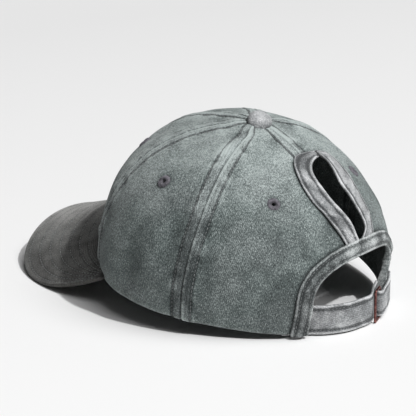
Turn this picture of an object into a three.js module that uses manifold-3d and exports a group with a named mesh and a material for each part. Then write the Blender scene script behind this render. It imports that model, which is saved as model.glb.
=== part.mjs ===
// A washed cotton baseball cap with a ponytail slit, standing on a flat surface.
// Millimetres, +Z up, the peak points to -Y and the wearer's left is +X.
import * as THREE from 'three';
import { mergeVertices } from 'three/addons/utils/BufferGeometryUtils.js';
import Module from 'manifold-3d';

const wasm = await Module();
wasm.setup();

// Cloth and the clearance between neighbours
const cloth = 1.6;
const gap = 0.3;

// Crown: reaches of its rim from the crown's axis, and its height along that axis
const crownFront = 85;
const crownBack = 106.5;
const crownHalfWidth = 90.4;
const crownHeight = 103.5;
// The top lies this far behind the rim's axis, and the rim rises towards the front by this angle
const topSetBack = 15;
const rimTilt = THREE.MathUtils.degToRad(7);
// The button draws the last of the top forwards, from this height share up
const topDraw = 4.5;
const topDrawStart = 0.97;
// How square the rear half of the rim is in plan, 2 being an ellipse
const rearPlanPower = 1.632;
// Where the cloth of the panels ends under the button
const topHoleRadius = 5;

// Seams between the panels, in degrees from the front towards either side
const frontSeamTurn = 49.2;
const sideSeamTurn = 110;
// The sewn-down tape of each seam
const seamBand = 6.3;
const seamRise = 0.5;
const seamClearance = gap * 1.4;
// Clearances of the panels over the peak and round the arch's binding
const peakClearance = gap * 1.3;
const archClearance = gap * 1.4;

// Peak
const peakLength = 61.7;
const peakThickness = 3;
const peakArchRadius = 88.5;
const peakSlope = 0.322;
const peakEndTurn = 60.7;
const peakSideRun = 62.6;
const peakFrontRun = 69.4;
const peakFlare = THREE.MathUtils.degToRad(9);
const peakTuck = 3;
const peakEdgeRoll = 0.9;

// Button on top
const buttonRadius = 7.8;
const buttonHeight = 5.8;
const buttonRim = 1.2;

// Embroidered eyelets
const eyeletRadius = 4.3;
const eyeletHole = 1.4;
const eyeletThickness = 2.8;
const eyeletHeight = 0.72;

// Arch at the back, seen from behind, to the outer edge of its binding
const archHalfWidth = 49.3;
const archTop = 54.3;
const archStraight = 22;
const archPower = 2.4;
// The right foot of the arch is drawn inwards by the fastened strap
const archFootDraw = 16;

// Folded bindings round the arch and the slit
const bindingThickness = 2.8;
const bindingRise = 0.7;
// The arch's binding is padded by this much along its middle
const bindingSwell = 0.4;
const archBindingWidth = 8.3;
const slitBindingWidth = 10.8;
// The right binding of the slit lies flatter and wider than the left one
const slitRightSpread = 1.25;

// Ponytail slit above the arch, measured along the back seam
const slitLength = 52;
const slitOpening = 14;
// The bindings of the slit stand off the crown at their free edge, and narrow over its top
const slitLip = 3.6;
const slitTopShare = 0.75;

// Strap, buckle and the tab that holds the buckle
const strapHeight = 19;
const strapFloorGap = 1;
const strapThickness = 1.8;
const tabLoopWall = 1.1;
const buckleWire = 0.8;
const buckleReach = 9;
const buckleCorner = 1.2;
const buckleCentre = -8;
const tabEnd = -43;
const strapEnd = 54;
const tailEnd = -24;

// Each side of the crown narrows from the rim's reach as (1 - height^rise)^(1/round),
// and swells by a share of the reach at half height
const crownSides = {
  front: { reach: crownFront, rise: 4.41, round: 2.08, swell: -0.024 },
  back: { reach: crownBack, rise: 2.91, round: 0.94, swell: 0.014 },
  side: { reach: crownHalfWidth, rise: 2.2, round: 2.04, swell: 0.076 },
};

// Dents and folds of the soft cloth: place as a turn and a height share, half lengths across and
// along as shares of the crown's height, lean from upright in degrees, depth as a share of the cloth
const dents = [
  { turn: 140, height: 0.26, across: 0.06, along: 0.17, lean: 35, depth: 1.5 },
  { turn: 151, height: 0.5, across: 0.05, along: 0.12, lean: -20, depth: 1.1 },
  { turn: 118, height: 0.42, across: 0.07, along: 0.2, lean: 5, depth: 1.0 },
  { turn: 101, height: 0.5, across: 0.07, along: 0.2, lean: -5, depth: 0.9 },
  { turn: 164, height: 0.57, across: 0.05, along: 0.09, lean: 60, depth: 1.6 },
  { turn: 82, height: 0.22, across: 0.08, along: 0.16, lean: 15, depth: 0.9 },
  { turn: 221, height: 0.3, across: 0.07, along: 0.18, lean: -30, depth: 1.4 },
  { turn: 262, height: 0.3, across: 0.08, along: 0.2, lean: 10, depth: 1.0 },
  { turn: 206, height: 0.06, across: 0.17, along: 0.24, lean: 0, depth: 2.2 },
  { turn: 24, height: 0.86, across: 0.12, along: 0.1, lean: 80, depth: 1.2 },
];

// The slit's opening at points along its length, from the arch upwards: where its middle lies and
// how wide it is, both as shares of the slit's opening
const slitSections = [
  { along: 0, middle: 0.1, width: 0.1 },
  { along: 0.12, middle: 0.1, width: 0.55 },
  { along: 0.3, middle: 0.07, width: 0.68 },
  { along: 0.5, middle: 0.14, width: 0.96 },
  { along: 0.68, middle: 0.13, width: 1 },
  { along: 0.84, middle: -0.12, width: 1.1 },
  { along: 0.95, middle: -0.32, width: 1.02 },
  { along: 1, middle: -0.4, width: 0.6 },
];

// How far the strap's and the tab's middles stand outside the rim, as shares of the binding's
// thickness, at places across the back from the wearer's left
const strapCourse = [
  { across: 1, stand: -1.95 },
  { across: 0.78, stand: -1.85 },
  { across: 0.58, stand: -0.5 },
  { across: 0.35, stand: 0.3 },
  { across: 0.15, stand: 0.4 },
  { across: -0.03, stand: 0.35 },
];
const tailCourse = [
  { across: 0.5, stand: -1.2 },
  { across: 1, stand: -1.9 },
];

const radians = THREE.MathUtils.degToRad;
const degrees = THREE.MathUtils.radToDeg;
const lerp = THREE.MathUtils.lerp;

// Reach of one side of the crown at a height share
function reachAt(side, height) {
  const narrowing = Math.pow(1 - Math.pow(height, side.rise), 1 / side.round);
  return side.reach * narrowing * (1 + side.swell * Math.sin(Math.PI * height));
}

// A point of the smooth crown, at a turn in degrees and a height share
function smoothCrown(turn, height) {
  const share = THREE.MathUtils.clamp(height, 0, 1);
  const ahead = Math.cos(radians(turn));
  const x = reachAt(crownSides.side, share) * Math.sin(radians(turn));
  const front = -reachAt(crownSides.front, share) * ahead;
  const back = reachAt(crownSides.back, share) * Math.pow(Math.max(-ahead, 0), 2 / rearPlanPower);
  const drawn = topDraw * THREE.MathUtils.smoothstep(share, topDrawStart, 1);
  const y = (ahead > 0 ? front : back) + topSetBack * share * share - drawn;
  const z = crownHeight * share;
  // The whole crown tips about the line under its back
  const behind = y - crownBack;
  return new THREE.Vector3(
    x,
    crownBack + behind * Math.cos(rimTilt) + z * Math.sin(rimTilt),
    z * Math.cos(rimTilt) - behind * Math.sin(rimTilt),
  );
}

// The normal is evened out over more degrees near the top, where the panels come to a blunt point
const normalHeightStep = 0.004;
const normalTopHeight = 0.985;
const normalTopTurn = 14;
const normalTopPower = 8;

function crownNormal(turn, height) {
  const heightStep = normalHeightStep;
  const middle = THREE.MathUtils.clamp(height, heightStep, normalTopHeight);
  const turnStep = 1 + normalTopTurn * middle ** normalTopPower;
  const across = smoothCrown(turn + turnStep, middle).sub(smoothCrown(turn - turnStep, middle));
  const up = smoothCrown(turn, middle + heightStep).sub(smoothCrown(turn, middle - heightStep));
  return across.cross(up).normalize();
}

// How far the cloth is pushed in at a place on the crown
function dentDepth(turn, height) {
  let depth = 0;
  for (const dent of dents) {
    const sideways = radians(turn - dent.turn) * crownHalfWidth;
    const upwards = (height - dent.height) * crownHeight;
    const lean = radians(dent.lean);
    const across = (sideways * Math.cos(lean) - upwards * Math.sin(lean)) / (dent.across * crownHeight);
    const along = (sideways * Math.sin(lean) + upwards * Math.cos(lean)) / (dent.along * crownHeight);
    depth += dent.depth * cloth * Math.exp(-across * across - along * along);
  }
  return depth;
}

// A point that stands off the crown's outer face by a lift, following its dents
function crownPoint(turn, height, lift) {
  const fullTurn = ((turn % 360) + 360) % 360;
  const away = lift - dentDepth(fullTurn, height);
  return smoothCrown(turn, height).addScaledVector(crownNormal(turn, height), away);
}

// The turn at which the back of the crown is a given distance across
function turnAcross(x, height) {
  const share = THREE.MathUtils.clamp(x / reachAt(crownSides.side, height), -0.999, 0.999);
  return 180 - degrees(Math.asin(share));
}

// Finds where a rising function reaches zero
function solve(rising, low, high) {
  let from = low;
  let to = high;
  for (let step = 0; step < 40; step += 1) {
    const middle = (from + to) / 2;
    if (rising(middle) < 0) {
      from = middle;
    } else {
      to = middle;
    }
  }
  return (from + to) / 2;
}

// The place on the back of the crown seen at x and z from behind
function placeBehind(x, z) {
  const height = solve((share) => smoothCrown(turnAcross(x, share), share).z - z, 0, 0.98);
  return { turn: turnAcross(x, height), height };
}

// The peak's middle surface is a sloping trough turned over
const peakEnd = smoothCrown(peakEndTurn, 0);
const rimFrontY = smoothCrown(0, 0).y;
const peakRidge = peakEnd.z - peakSlope * (peakEnd.y - rimFrontY)
  + peakEnd.x * peakEnd.x / (2 * peakArchRadius);

function peakMiddle(x, y) {
  return peakRidge + peakSlope * (y - rimFrontY) - x * x / (2 * peakArchRadius);
}

function peakNormal(x) {
  return new THREE.Vector3(x / peakArchRadius, -peakSlope, 1).normalize();
}

function peakPoint(x, y, lift) {
  return new THREE.Vector3(x, y, peakMiddle(x, y)).addScaledVector(peakNormal(x), lift);
}

// Height share of the panels' lower edge, which sits on the peak in front
function clearOfPeak(turn, height) {
  const faces = [crownPoint(turn, height, 0), crownPoint(turn, height, -cloth)];
  const rooms = faces.map((point) => {
    const upright = peakNormal(point.x).z;
    return point.z - peakMiddle(point.x, point.y) - peakThickness / 2 / upright;
  });
  return Math.min(...rooms) - peakClearance;
}

const peakEndMargin = 1.5;

function lowerEdge(turn) {
  const side = Math.abs(((turn + 180) % 360 + 360) % 360 - 180);
  const atPeak = Math.min(side, peakEndTurn);
  const onPeak = clearOfPeak(atPeak, 0) > 0 ? 0 : solve((share) => clearOfPeak(atPeak, share), 0, 0.5);
  const past = THREE.MathUtils.clamp((side - peakEndTurn - peakEndMargin) / peakEndMargin, 0, 1);
  return onPeak * (1 - past);
}

// The crown's height shares at even steps of length up one meridian, from low to the button
const meridianSteps = 240;

function evenHeights(turn, low, rows) {
  const top = smoothCrown(0, 1);
  const shares = [];
  const lengths = [0];
  for (let step = 0; step <= meridianSteps; step += 1) {
    const rest = 1 - step / meridianSteps;
    shares.push(1 - (1 - low) * rest * rest);
  }
  const points = shares.map((share) => smoothCrown(turn, share));
  for (let step = 1; step <= meridianSteps; step += 1) {
    lengths.push(lengths[step - 1] + points[step].distanceTo(points[step - 1]));
  }
  let last = meridianSteps;
  while (Math.hypot(points[last].x - top.x, points[last].y - top.y) < topHoleRadius) {
    last -= 1;
  }
  const heights = [];
  let step = 0;
  for (let row = 0; row <= rows; row += 1) {
    const wanted = lengths[last] * row / rows;
    while (lengths[step + 1] < wanted && step < last - 1) {
      step += 1;
    }
    const part = (wanted - lengths[step]) / (lengths[step + 1] - lengths[step]);
    heights.push(lerp(shares[step], shares[step + 1], part));
  }
  return heights;
}

// A closed body from two grids of points, the outer one seen with its rows going up and its
// columns going to the right
function shell(outer, inner) {
  const rows = outer.length;
  const columns = outer[0].length;
  const positions = [];
  const faces = [];
  for (const grid of [outer, inner]) {
    for (const row of grid) {
      row.forEach((point) => positions.push(point.x, point.y, point.z));
    }
  }
  const at = (side, row, column) => (side * rows + row) * columns + column;
  const quad = (a, b, c, d) => faces.push(a, b, c, a, c, d);
  for (let row = 0; row + 1 < rows; row += 1) {
    for (let column = 0; column + 1 < columns; column += 1) {
      quad(at(0, row, column), at(0, row, column + 1), at(0, row + 1, column + 1), at(0, row + 1, column));
      quad(at(1, row, column), at(1, row + 1, column), at(1, row + 1, column + 1), at(1, row, column + 1));
    }
  }
  for (let column = 0; column + 1 < columns; column += 1) {
    quad(at(1, 0, column), at(1, 0, column + 1), at(0, 0, column + 1), at(0, 0, column));
    quad(at(0, rows - 1, column), at(0, rows - 1, column + 1), at(1, rows - 1, column + 1),
      at(1, rows - 1, column));
  }
  for (let row = 0; row + 1 < rows; row += 1) {
    quad(at(0, row, 0), at(0, row + 1, 0), at(1, row + 1, 0), at(1, row, 0));
    quad(at(1, row, columns - 1), at(1, row + 1, columns - 1), at(0, row + 1, columns - 1),
      at(0, row, columns - 1));
  }
  const geometry = new THREE.BufferGeometry();
  geometry.setAttribute('position', new THREE.Float32BufferAttribute(positions, 3));
  geometry.setIndex(faces);
  return geometry;
}

// A plain welded copy of a geometry as a solid that can be cut
function solidOf(geometry) {
  const bare = geometry.clone();
  bare.deleteAttribute('normal');
  bare.deleteAttribute('uv');
  const welded = mergeVertices(bare, 1e-4);
  const mesh = new wasm.Mesh({
    numProp: 3,
    vertProperties: new Float32Array(welded.attributes.position.array),
    triVerts: new Uint32Array(welded.index.array),
  });
  return new wasm.Manifold(mesh);
}

function geometryOf(solid) {
  const mesh = solid.getMesh();
  const geometry = new THREE.BufferGeometry();
  geometry.setAttribute('position', new THREE.BufferAttribute(new Float32Array(mesh.vertProperties), 3));
  geometry.setIndex(new THREE.BufferAttribute(new Uint32Array(mesh.triVerts), 1));
  return geometry;
}

function cut(geometry, ...cutters) {
  return geometryOf(cutters.reduce((left, cutter) => left.subtract(cutter), solidOf(geometry)));
}

// A patch that lies on the crown, from rows of places, between two lifts
function patch(places, outerLift, innerLift) {
  const faceAt = (lift) => places.map((row) => row.map((place, column) => {
    const own = typeof lift === 'function' ? lift(column, row.length, place) : lift;
    return crownPoint(place.turn, place.height, own);
  }));
  return shell(faceAt(outerLift), faceAt(innerLift));
}

// The columns of a panel between two seams, closer together beside the seams
const panelRows = 13;
const panelColumns = 8;
const bandEdge = 1;

function panelTurns(from, to) {
  const band = degrees(seamBand / crownHalfWidth);
  const step = degrees(bandEdge / crownHalfWidth);
  const turns = [from, from + band, from + band + step];
  const first = from + band + step;
  const last = to - band - step;
  for (let column = 1; column < panelColumns; column += 1) {
    turns.push(lerp(first, last, column / panelColumns));
  }
  turns.push(last, to - band, to);
  for (const side of [-1, 1]) {
    for (const margin of [1, 2]) {
      const corner = side * (peakEndTurn + margin * peakEndMargin);
      turns.push((corner + 360) % 360);
    }
  }
  return turns.filter((turn) => turn >= from && turn <= to).sort((a, b) => a - b);
}

function panel(from, to) {
  const turns = panelTurns(from, to);
  const heights = turns.map((turn) => evenHeights(turn, lowerEdge(turn), panelRows));
  const places = [];
  for (let row = 0; row <= panelRows; row += 1) {
    places.push(turns.map((turn, column) => ({ turn, height: heights[column][row], top: row === panelRows })));
  }
  // The tape of a seam runs out flat under the button
  const rise = (column, columns, place) => {
    const onBand = column < 2 || column > columns - 3;
    return onBand && !place.top ? seamRise : 0;
  };
  return patch(places, rise, -cloth);
}

// A body that trims a panel along a seam, on the side away from the panel
const trimDepth = 6;
const trimWidth = 5;
const trimStep = 0.002;
const trimBeyond = 0.4;

function seamTrim(turn, side) {
  const outer = [];
  const inner = [];
  const reaches = side > 0 ? [-seamClearance / 2, trimWidth] : [-trimWidth, seamClearance / 2];
  for (const height of evenHeights(turn, lowerEdge(turn), panelRows)) {
    const middle = crownPoint(turn, height, 0);
    const normal = crownNormal(turn, height);
    const up = smoothCrown(turn, height + trimStep).sub(smoothCrown(turn, Math.max(height - trimStep, 0)));
    const across = up.cross(normal).normalize();
    const edgeAt = (reach, lift) => middle.clone().addScaledVector(across, reach).addScaledVector(normal, lift);
    outer.push(reaches.map((reach) => edgeAt(reach, trimDepth)));
    inner.push(reaches.map((reach) => edgeAt(reach, -trimDepth)));
  }
  // The ends run on a little past the panel
  const beyond = (rows, end, next) => rows[end].map((point, column) => (
    point.clone().add(point.clone().sub(rows[next][column]).multiplyScalar(trimBeyond))
  ));
  const lengthened = (rows) => [beyond(rows, 0, 1), ...rows, beyond(rows, rows.length - 1, rows.length - 2)];
  return solidOf(shell(lengthened(outer), lengthened(inner)));
}

// Outline of the arch from behind, from its left foot over the top to its right foot, pushed out
// or in by a distance
const archSteps = 15;
const archFootDepth = 2;
// The drawn-in foot starts to bend at this multiple of the straight part's height
const archDrawStart = 1.4;

function archOutline(grow) {
  const halfWidth = archHalfWidth + grow;
  const rise = archTop + grow - archStraight;
  const below = -archFootDepth;
  const outline = [{ x: halfWidth, z: below }, { x: halfWidth, z: archStraight / 2 }];
  for (let step = 0; step <= archSteps; step += 1) {
    const angle = Math.PI * step / archSteps;
    const across = Math.abs(Math.cos(angle)) ** (2 / archPower) * Math.sign(Math.cos(angle));
    outline.push({ x: halfWidth * across, z: archStraight + rise * Math.sin(angle) ** (2 / archPower) });
  }
  outline.push({ x: -halfWidth, z: archStraight / 2 }, { x: -halfWidth, z: below });
  return outline.map(({ x, z }) => {
    const low = THREE.MathUtils.clamp(1 - z / (archStraight * archDrawStart), 0, 1);
    return { x: x < 0 ? x + archFootDraw * low : x, z };
  });
}

// Places between two matching lists of places
function between(left, right, columns) {
  return left.map((start, row) => {
    const end = right[row];
    return Array.from({ length: columns + 1 }, (unused, column) => ({
      turn: lerp(start.turn, end.turn, column / columns),
      height: lerp(start.height, end.height, column / columns),
    }));
  });
}

// A body that removes the cloth inside the arch, grown by a clearance
const cutDepth = 9;

function archCutter(grow) {
  const outline = archOutline(grow);
  const half = Math.floor(outline.length / 2);
  const left = outline.slice(0, half);
  const right = outline.slice(outline.length - half).reverse();
  const place = ({ x, z }) => placeBehind(x, z);
  const rows = between(left.map(place), right.map(place), 10);
  const faceAt = (lift) => {
    const face = rows.map((row) => row.map((spot) => crownPoint(spot.turn, spot.height, lift)));
    const below = face[0].map((point) => point.clone().setZ(-crownHeight));
    return [below, ...face];
  };
  return solidOf(shell(faceAt(cutDepth), faceAt(-cutDepth)));
}

// Length up the back seam from the rim, and the height share at such a length
const backSeam = evenHeights(180, 0, 200);
const backLengths = [0];
for (let step = 1; step < backSeam.length; step += 1) {
  const climbed = smoothCrown(180, backSeam[step]).distanceTo(smoothCrown(180, backSeam[step - 1]));
  backLengths.push(backLengths[step - 1] + climbed);
}

function heightAlongBack(length) {
  const step = THREE.MathUtils.clamp(backLengths.findIndex((own) => own > length), 1, backSeam.length - 1);
  const part = (length - backLengths[step - 1]) / (backLengths[step] - backLengths[step - 1]);
  return lerp(backSeam[step - 1], backSeam[step], part);
}

const slitFoot = backLengths[backSeam.findIndex((share) => smoothCrown(180, share).z > archTop)];

// The edge of the slit's opening as distances across and up the back, on one side
function slitEdge(side) {
  const points = slitSections.map(({ along, middle, width }) => new THREE.Vector2(
    slitOpening * (middle + side * width / 2),
    slitFoot + along * slitLength,
  ));
  return new THREE.SplineCurve(points).getPoints(12);
}

function slitBandWidth(side) {
  return side > 0 ? slitBindingWidth : slitBindingWidth * slitRightSpread;
}

// The outer edge of a slit binding lies square to the opening's edge
function slitOuterEdge(side, width) {
  const edge = slitEdge(side);
  return edge.map((point, index) => {
    const before = edge[Math.max(index - 1, 0)];
    const after = edge[Math.min(index + 1, edge.length - 1)];
    const course = after.clone().sub(before).normalize();
    return point.clone().add(new THREE.Vector2(course.y, -course.x).multiplyScalar(side * width));
  });
}

function placeUpBack(point) {
  const height = heightAlongBack(point.y);
  return { turn: turnAcross(point.x, height), height };
}

// The last stretch of both bindings turns over the top of the slit until they meet
const slitTopSteps = 5;
const slitTopRise = 1;

function slitTop(side, grow) {
  const edge = slitEdge(side);
  const outer = slitOuterEdge(side, slitBandWidth(side) + grow);
  const innerEnd = edge[edge.length - 1];
  const outerEnd = outer[outer.length - 1];
  const other = slitEdge(-side);
  const meeting = (innerEnd.x + other[other.length - 1].x) / 2 + side * gap;
  const topReach = slitBindingWidth * slitTopShare + grow;
  const stations = [];
  for (let step = 1; step <= slitTopSteps; step += 1) {
    const share = step / slitTopSteps;
    const angle = share * Math.PI / 2;
    stations.push({
      inner: new THREE.Vector2(lerp(innerEnd.x, meeting, share), innerEnd.y + Math.sin(angle) * slitTopRise),
      outer: new THREE.Vector2(
        lerp(meeting, outerEnd.x, Math.cos(angle)),
        outerEnd.y + (innerEnd.y + topReach - outerEnd.y) * Math.sin(angle),
      ),
    });
  }
  return stations;
}

function slitStations(side, grow) {
  const inner = slitEdge(side);
  const outer = slitOuterEdge(side, slitBandWidth(side) + grow);
  const stations = inner.map((point, index) => ({ inner: point, outer: outer[index] }));
  return stations.concat(slitTop(side, grow));
}

function slitBinding(side) {
  const stations = slitStations(side, 0);
  const ends = side > 0 ? ['outer', 'inner'] : ['inner', 'outer'];
  const left = stations.map((station) => placeUpBack(station[ends[0]]));
  const right = stations.map((station) => placeUpBack(station[ends[1]]));
  const columns = 4;
  const places = between(left, right, columns);
  const lipAt = (column) => {
    const share = side > 0 ? column / columns : 1 - column / columns;
    return bindingRise + slitLip * share;
  };
  return patch(places, lipAt, (column) => lipAt(column) - bindingThickness);
}

function slitCutter() {
  const left = slitStations(1, gap).map((station) => placeUpBack(station.outer));
  const right = slitStations(-1, gap).map((station) => placeUpBack(station.outer));
  return solidOf(patch(between(left, right, 6), cutDepth, -cutDepth));
}

function archBinding() {
  const outer = archOutline(0).map(({ x, z }) => placeBehind(x, z));
  const inner = archOutline(-archBindingWidth).map(({ x, z }) => placeBehind(x, z));
  const rise = (column, columns) => {
    const onEdge = column === 0 || column === columns - 1;
    return onEdge ? bindingRise : bindingRise + bindingSwell;
  };
  return patch(between(outer, inner, 3), rise, bindingRise - bindingThickness);
}

// Round pieces
function domeGeometry(radius, height, rim) {
  const profile = [new THREE.Vector2(0, 0), new THREE.Vector2(radius - rim, 0), new THREE.Vector2(radius, rim)];
  const steps = 4;
  for (let step = 1; step < steps; step += 1) {
    const angle = step / steps * Math.PI / 2;
    profile.push(new THREE.Vector2(radius * Math.cos(angle), rim + (height - rim) * Math.sin(angle)));
  }
  profile.push(new THREE.Vector2(0, height));
  const dome = new THREE.LatheGeometry(profile, 24);
  dome.rotateX(Math.PI / 2);
  return geometryOf(solidOf(dome));
}

function eyeletGeometry() {
  const half = eyeletThickness / 2;
  const bevel = half * 0.5;
  const profile = [
    new THREE.Vector2(eyeletHole, -half + bevel),
    new THREE.Vector2(eyeletHole + bevel, -half),
    new THREE.Vector2(eyeletRadius - bevel, -half),
    new THREE.Vector2(eyeletRadius, -half + bevel),
    new THREE.Vector2(eyeletRadius, half - bevel),
    new THREE.Vector2(eyeletRadius - bevel, half),
    new THREE.Vector2(eyeletHole + bevel, half),
    new THREE.Vector2(eyeletHole, half - bevel),
    new THREE.Vector2(eyeletHole, -half + bevel),
  ];
  const ring = new THREE.LatheGeometry(profile, 14);
  ring.rotateX(Math.PI / 2);
  return geometryOf(solidOf(ring));
}

// Turns +Z to a direction at a place
function pose(direction, position) {
  const turnTo = new THREE.Quaternion().setFromUnitVectors(new THREE.Vector3(0, 0, 1), direction);
  return new THREE.Matrix4().compose(position, turnTo, new THREE.Vector3(1, 1, 1));
}

// The eyelets sit near the middles of the panels
const eyeletTurns = {
  front: frontSeamTurn / 2,
  side: lerp(frontSeamTurn, sideSeamTurn, 0.46),
  rear: lerp(sideSeamTurn, 180, 0.475),
};

function eyeletPose(turn) {
  const middle = crownPoint(turn, eyeletHeight, -cloth / 2);
  return pose(crownNormal(turn, eyeletHeight), middle);
}

function eyeletCutter(turn) {
  const drill = new THREE.CylinderGeometry(eyeletRadius + gap, eyeletRadius + gap, 4 * cloth + eyeletThickness, 14);
  drill.rotateX(Math.PI / 2);
  drill.applyMatrix4(eyeletPose(turn));
  return solidOf(drill);
}

// The peak between the crown's rim and its outer edge
function peakEdgeCurve() {
  const start = new THREE.Vector2(peakEnd.x, peakEnd.y);
  const tip = new THREE.Vector2(0, rimFrontY - peakLength);
  const sideHandle = start.clone().add(
    new THREE.Vector2(Math.sin(peakFlare), -Math.cos(peakFlare)).multiplyScalar(peakSideRun),
  );
  const frontHandle = tip.clone().add(new THREE.Vector2(peakFrontRun, 0));
  return new THREE.CubicBezierCurve(start, sideHandle, frontHandle, tip);
}

const peakHalfColumns = 13;
const peakRows = 6;

function peakGeometry() {
  const half = peakEdgeCurve().getSpacedPoints(peakHalfColumns);
  const edge = half.map((point) => new THREE.Vector2(-point.x, point.y)).concat(half.slice(0, -1).reverse());
  const columns = edge.length;
  const grid = (lift) => {
    const rows = [];
    for (let row = 0; row <= peakRows; row += 1) {
      rows.push(edge.map((outer, column) => {
        const turn = lerp(-peakEndTurn, peakEndTurn, column / (columns - 1));
        const root = crownPoint(turn, lowerEdge(turn), -cloth - peakTuck);
        const share = row / peakRows;
        return peakPoint(lerp(outer.x, root.x, share), lerp(outer.y, root.y, share), lift);
      }));
    }
    return rows;
  };
  const top = grid(peakThickness / 2);
  const bottom = grid(-peakThickness / 2);
  const middle = grid(0);
  // The rolled edge stands out beyond the faces
  const roll = middle[0].map((point, column) => {
    const outwards = point.clone().sub(middle[1][column]).setZ(0).normalize();
    return point.clone().addScaledVector(outwards, peakEdgeRoll);
  });
  const rollTop = roll.map((point) => point.clone().addScaledVector(peakNormal(point.x), peakThickness / 6));
  const rollBottom = roll.map((point) => point.clone().addScaledVector(peakNormal(point.x), -peakThickness / 6));
  return shell([rollTop, ...top], [rollBottom, ...bottom]);
}

// The button leans back with the cloth under it
function buttonGeometry() {
  const top = smoothCrown(0, 1);
  const under = [];
  for (const radius of [buttonRadius, topHoleRadius]) {
    for (let turn = 0; turn < 360; turn += 15) {
      const height = solve((share) => {
        const point = smoothCrown(turn, share);
        return radius - Math.hypot(point.x - top.x, point.y - top.y);
      }, 0.5, 1);
      under.push(crownPoint(turn, height, 0));
    }
  }
  const front = under[0];
  const back = under[12];
  const lean = Math.atan2(front.z - back.z, back.y - front.y);
  const axis = new THREE.Vector3(0, Math.sin(lean), Math.cos(lean));
  const seat = Math.max(...under.map((point) => point.clone().sub(top).dot(axis))) + gap;
  const dome = domeGeometry(buttonRadius, buttonHeight, buttonRim);
  dome.applyMatrix4(pose(axis, top.clone().addScaledVector(axis, seat)));
  return dome;
}

// The surface that the cap stands on is as low as the peak's lowest corner
const peakBody = peakGeometry();
peakBody.computeBoundingBox();
const surfaceZ = peakBody.boundingBox.min.z;
const strapLow = surfaceZ + strapFloorGap;
const strapHigh = strapLow + strapHeight;

// Plan of the strap: a point this far across the back that stands off the rim by a distance
const strapMiddleZ = (strapLow + strapHigh) / 2;

function strapPoint(x, stand) {
  const place = placeBehind(x, strapMiddleZ);
  const point = smoothCrown(place.turn, place.height);
  const outwards = crownNormal(place.turn, place.height).setZ(0).normalize();
  return new THREE.Vector2(point.x + outwards.x * stand, point.y + outwards.y * stand);
}

// An upright ribbon along a curve in plan
function ribbonShape(points, thickness) {
  const line = new THREE.SplineCurve(points).getSpacedPoints(points.length * 4);
  const sides = [-1, 1].map((side) => line.map((point, index) => {
    const before = line[Math.max(index - 1, 0)];
    const after = line[Math.min(index + 1, line.length - 1)];
    const course = after.clone().sub(before).normalize();
    return point.clone().add(new THREE.Vector2(-course.y, course.x).multiplyScalar(side * thickness / 2));
  }));
  return new THREE.Shape(sides[0].concat(sides[1].reverse()));
}

function upright(shape, low, high) {
  const body = new THREE.ExtrudeGeometry(shape, { depth: high - low, bevelEnabled: false, curveSegments: 5 });
  body.translate(0, 0, low);
  return solidOf(body);
}

// Bars of the buckle: the left one lies over the strap and the right one inside the tab's loop
const strapStand = bindingThickness * strapCourse[strapCourse.length - 1].stand;
const overStrap = strapStand + strapThickness / 2 + gap + buckleWire;
const tabStand = strapThickness / 2;
const leftBar = strapPoint(buckleCentre + buckleReach / 2, overStrap);
const rightBar = strapPoint(buckleCentre - buckleReach / 2, tabStand);

function strapGeometry() {
  const course = strapCourse.map(({ across, stand }) => strapPoint(strapEnd * across, stand * bindingThickness));
  const tail = tailCourse.map(({ across, stand }) => strapPoint(tailEnd * across, stand * bindingThickness));
  const shape = ribbonShape(course.concat(tail), strapThickness);
  return geometryOf(upright(shape, strapLow, strapHigh));
}

const tabInset = 1;

function tabGeometry() {
  const eyeHole = buckleWire + gap;
  const eyeRadius = eyeHole + tabLoopWall;
  const points = [rightBar];
  for (const share of [0.4, 0.6, 0.8, 1]) {
    points.push(strapPoint(lerp(rightBar.x, tabEnd, share), tabStand));
  }
  const low = strapLow + tabInset;
  const high = strapHigh - tabInset;
  const strip = upright(ribbonShape(points, strapThickness), low, high);
  const eye = new THREE.Shape().absarc(rightBar.x, rightBar.y, eyeRadius, 0, 2 * Math.PI);
  const hole = new THREE.Shape().absarc(rightBar.x, rightBar.y, eyeHole, 0, 2 * Math.PI);
  const loop = upright(eye, low, high);
  return geometryOf(strip.add(loop).subtract(upright(hole, low - 1, high + 1)));
}

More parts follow.
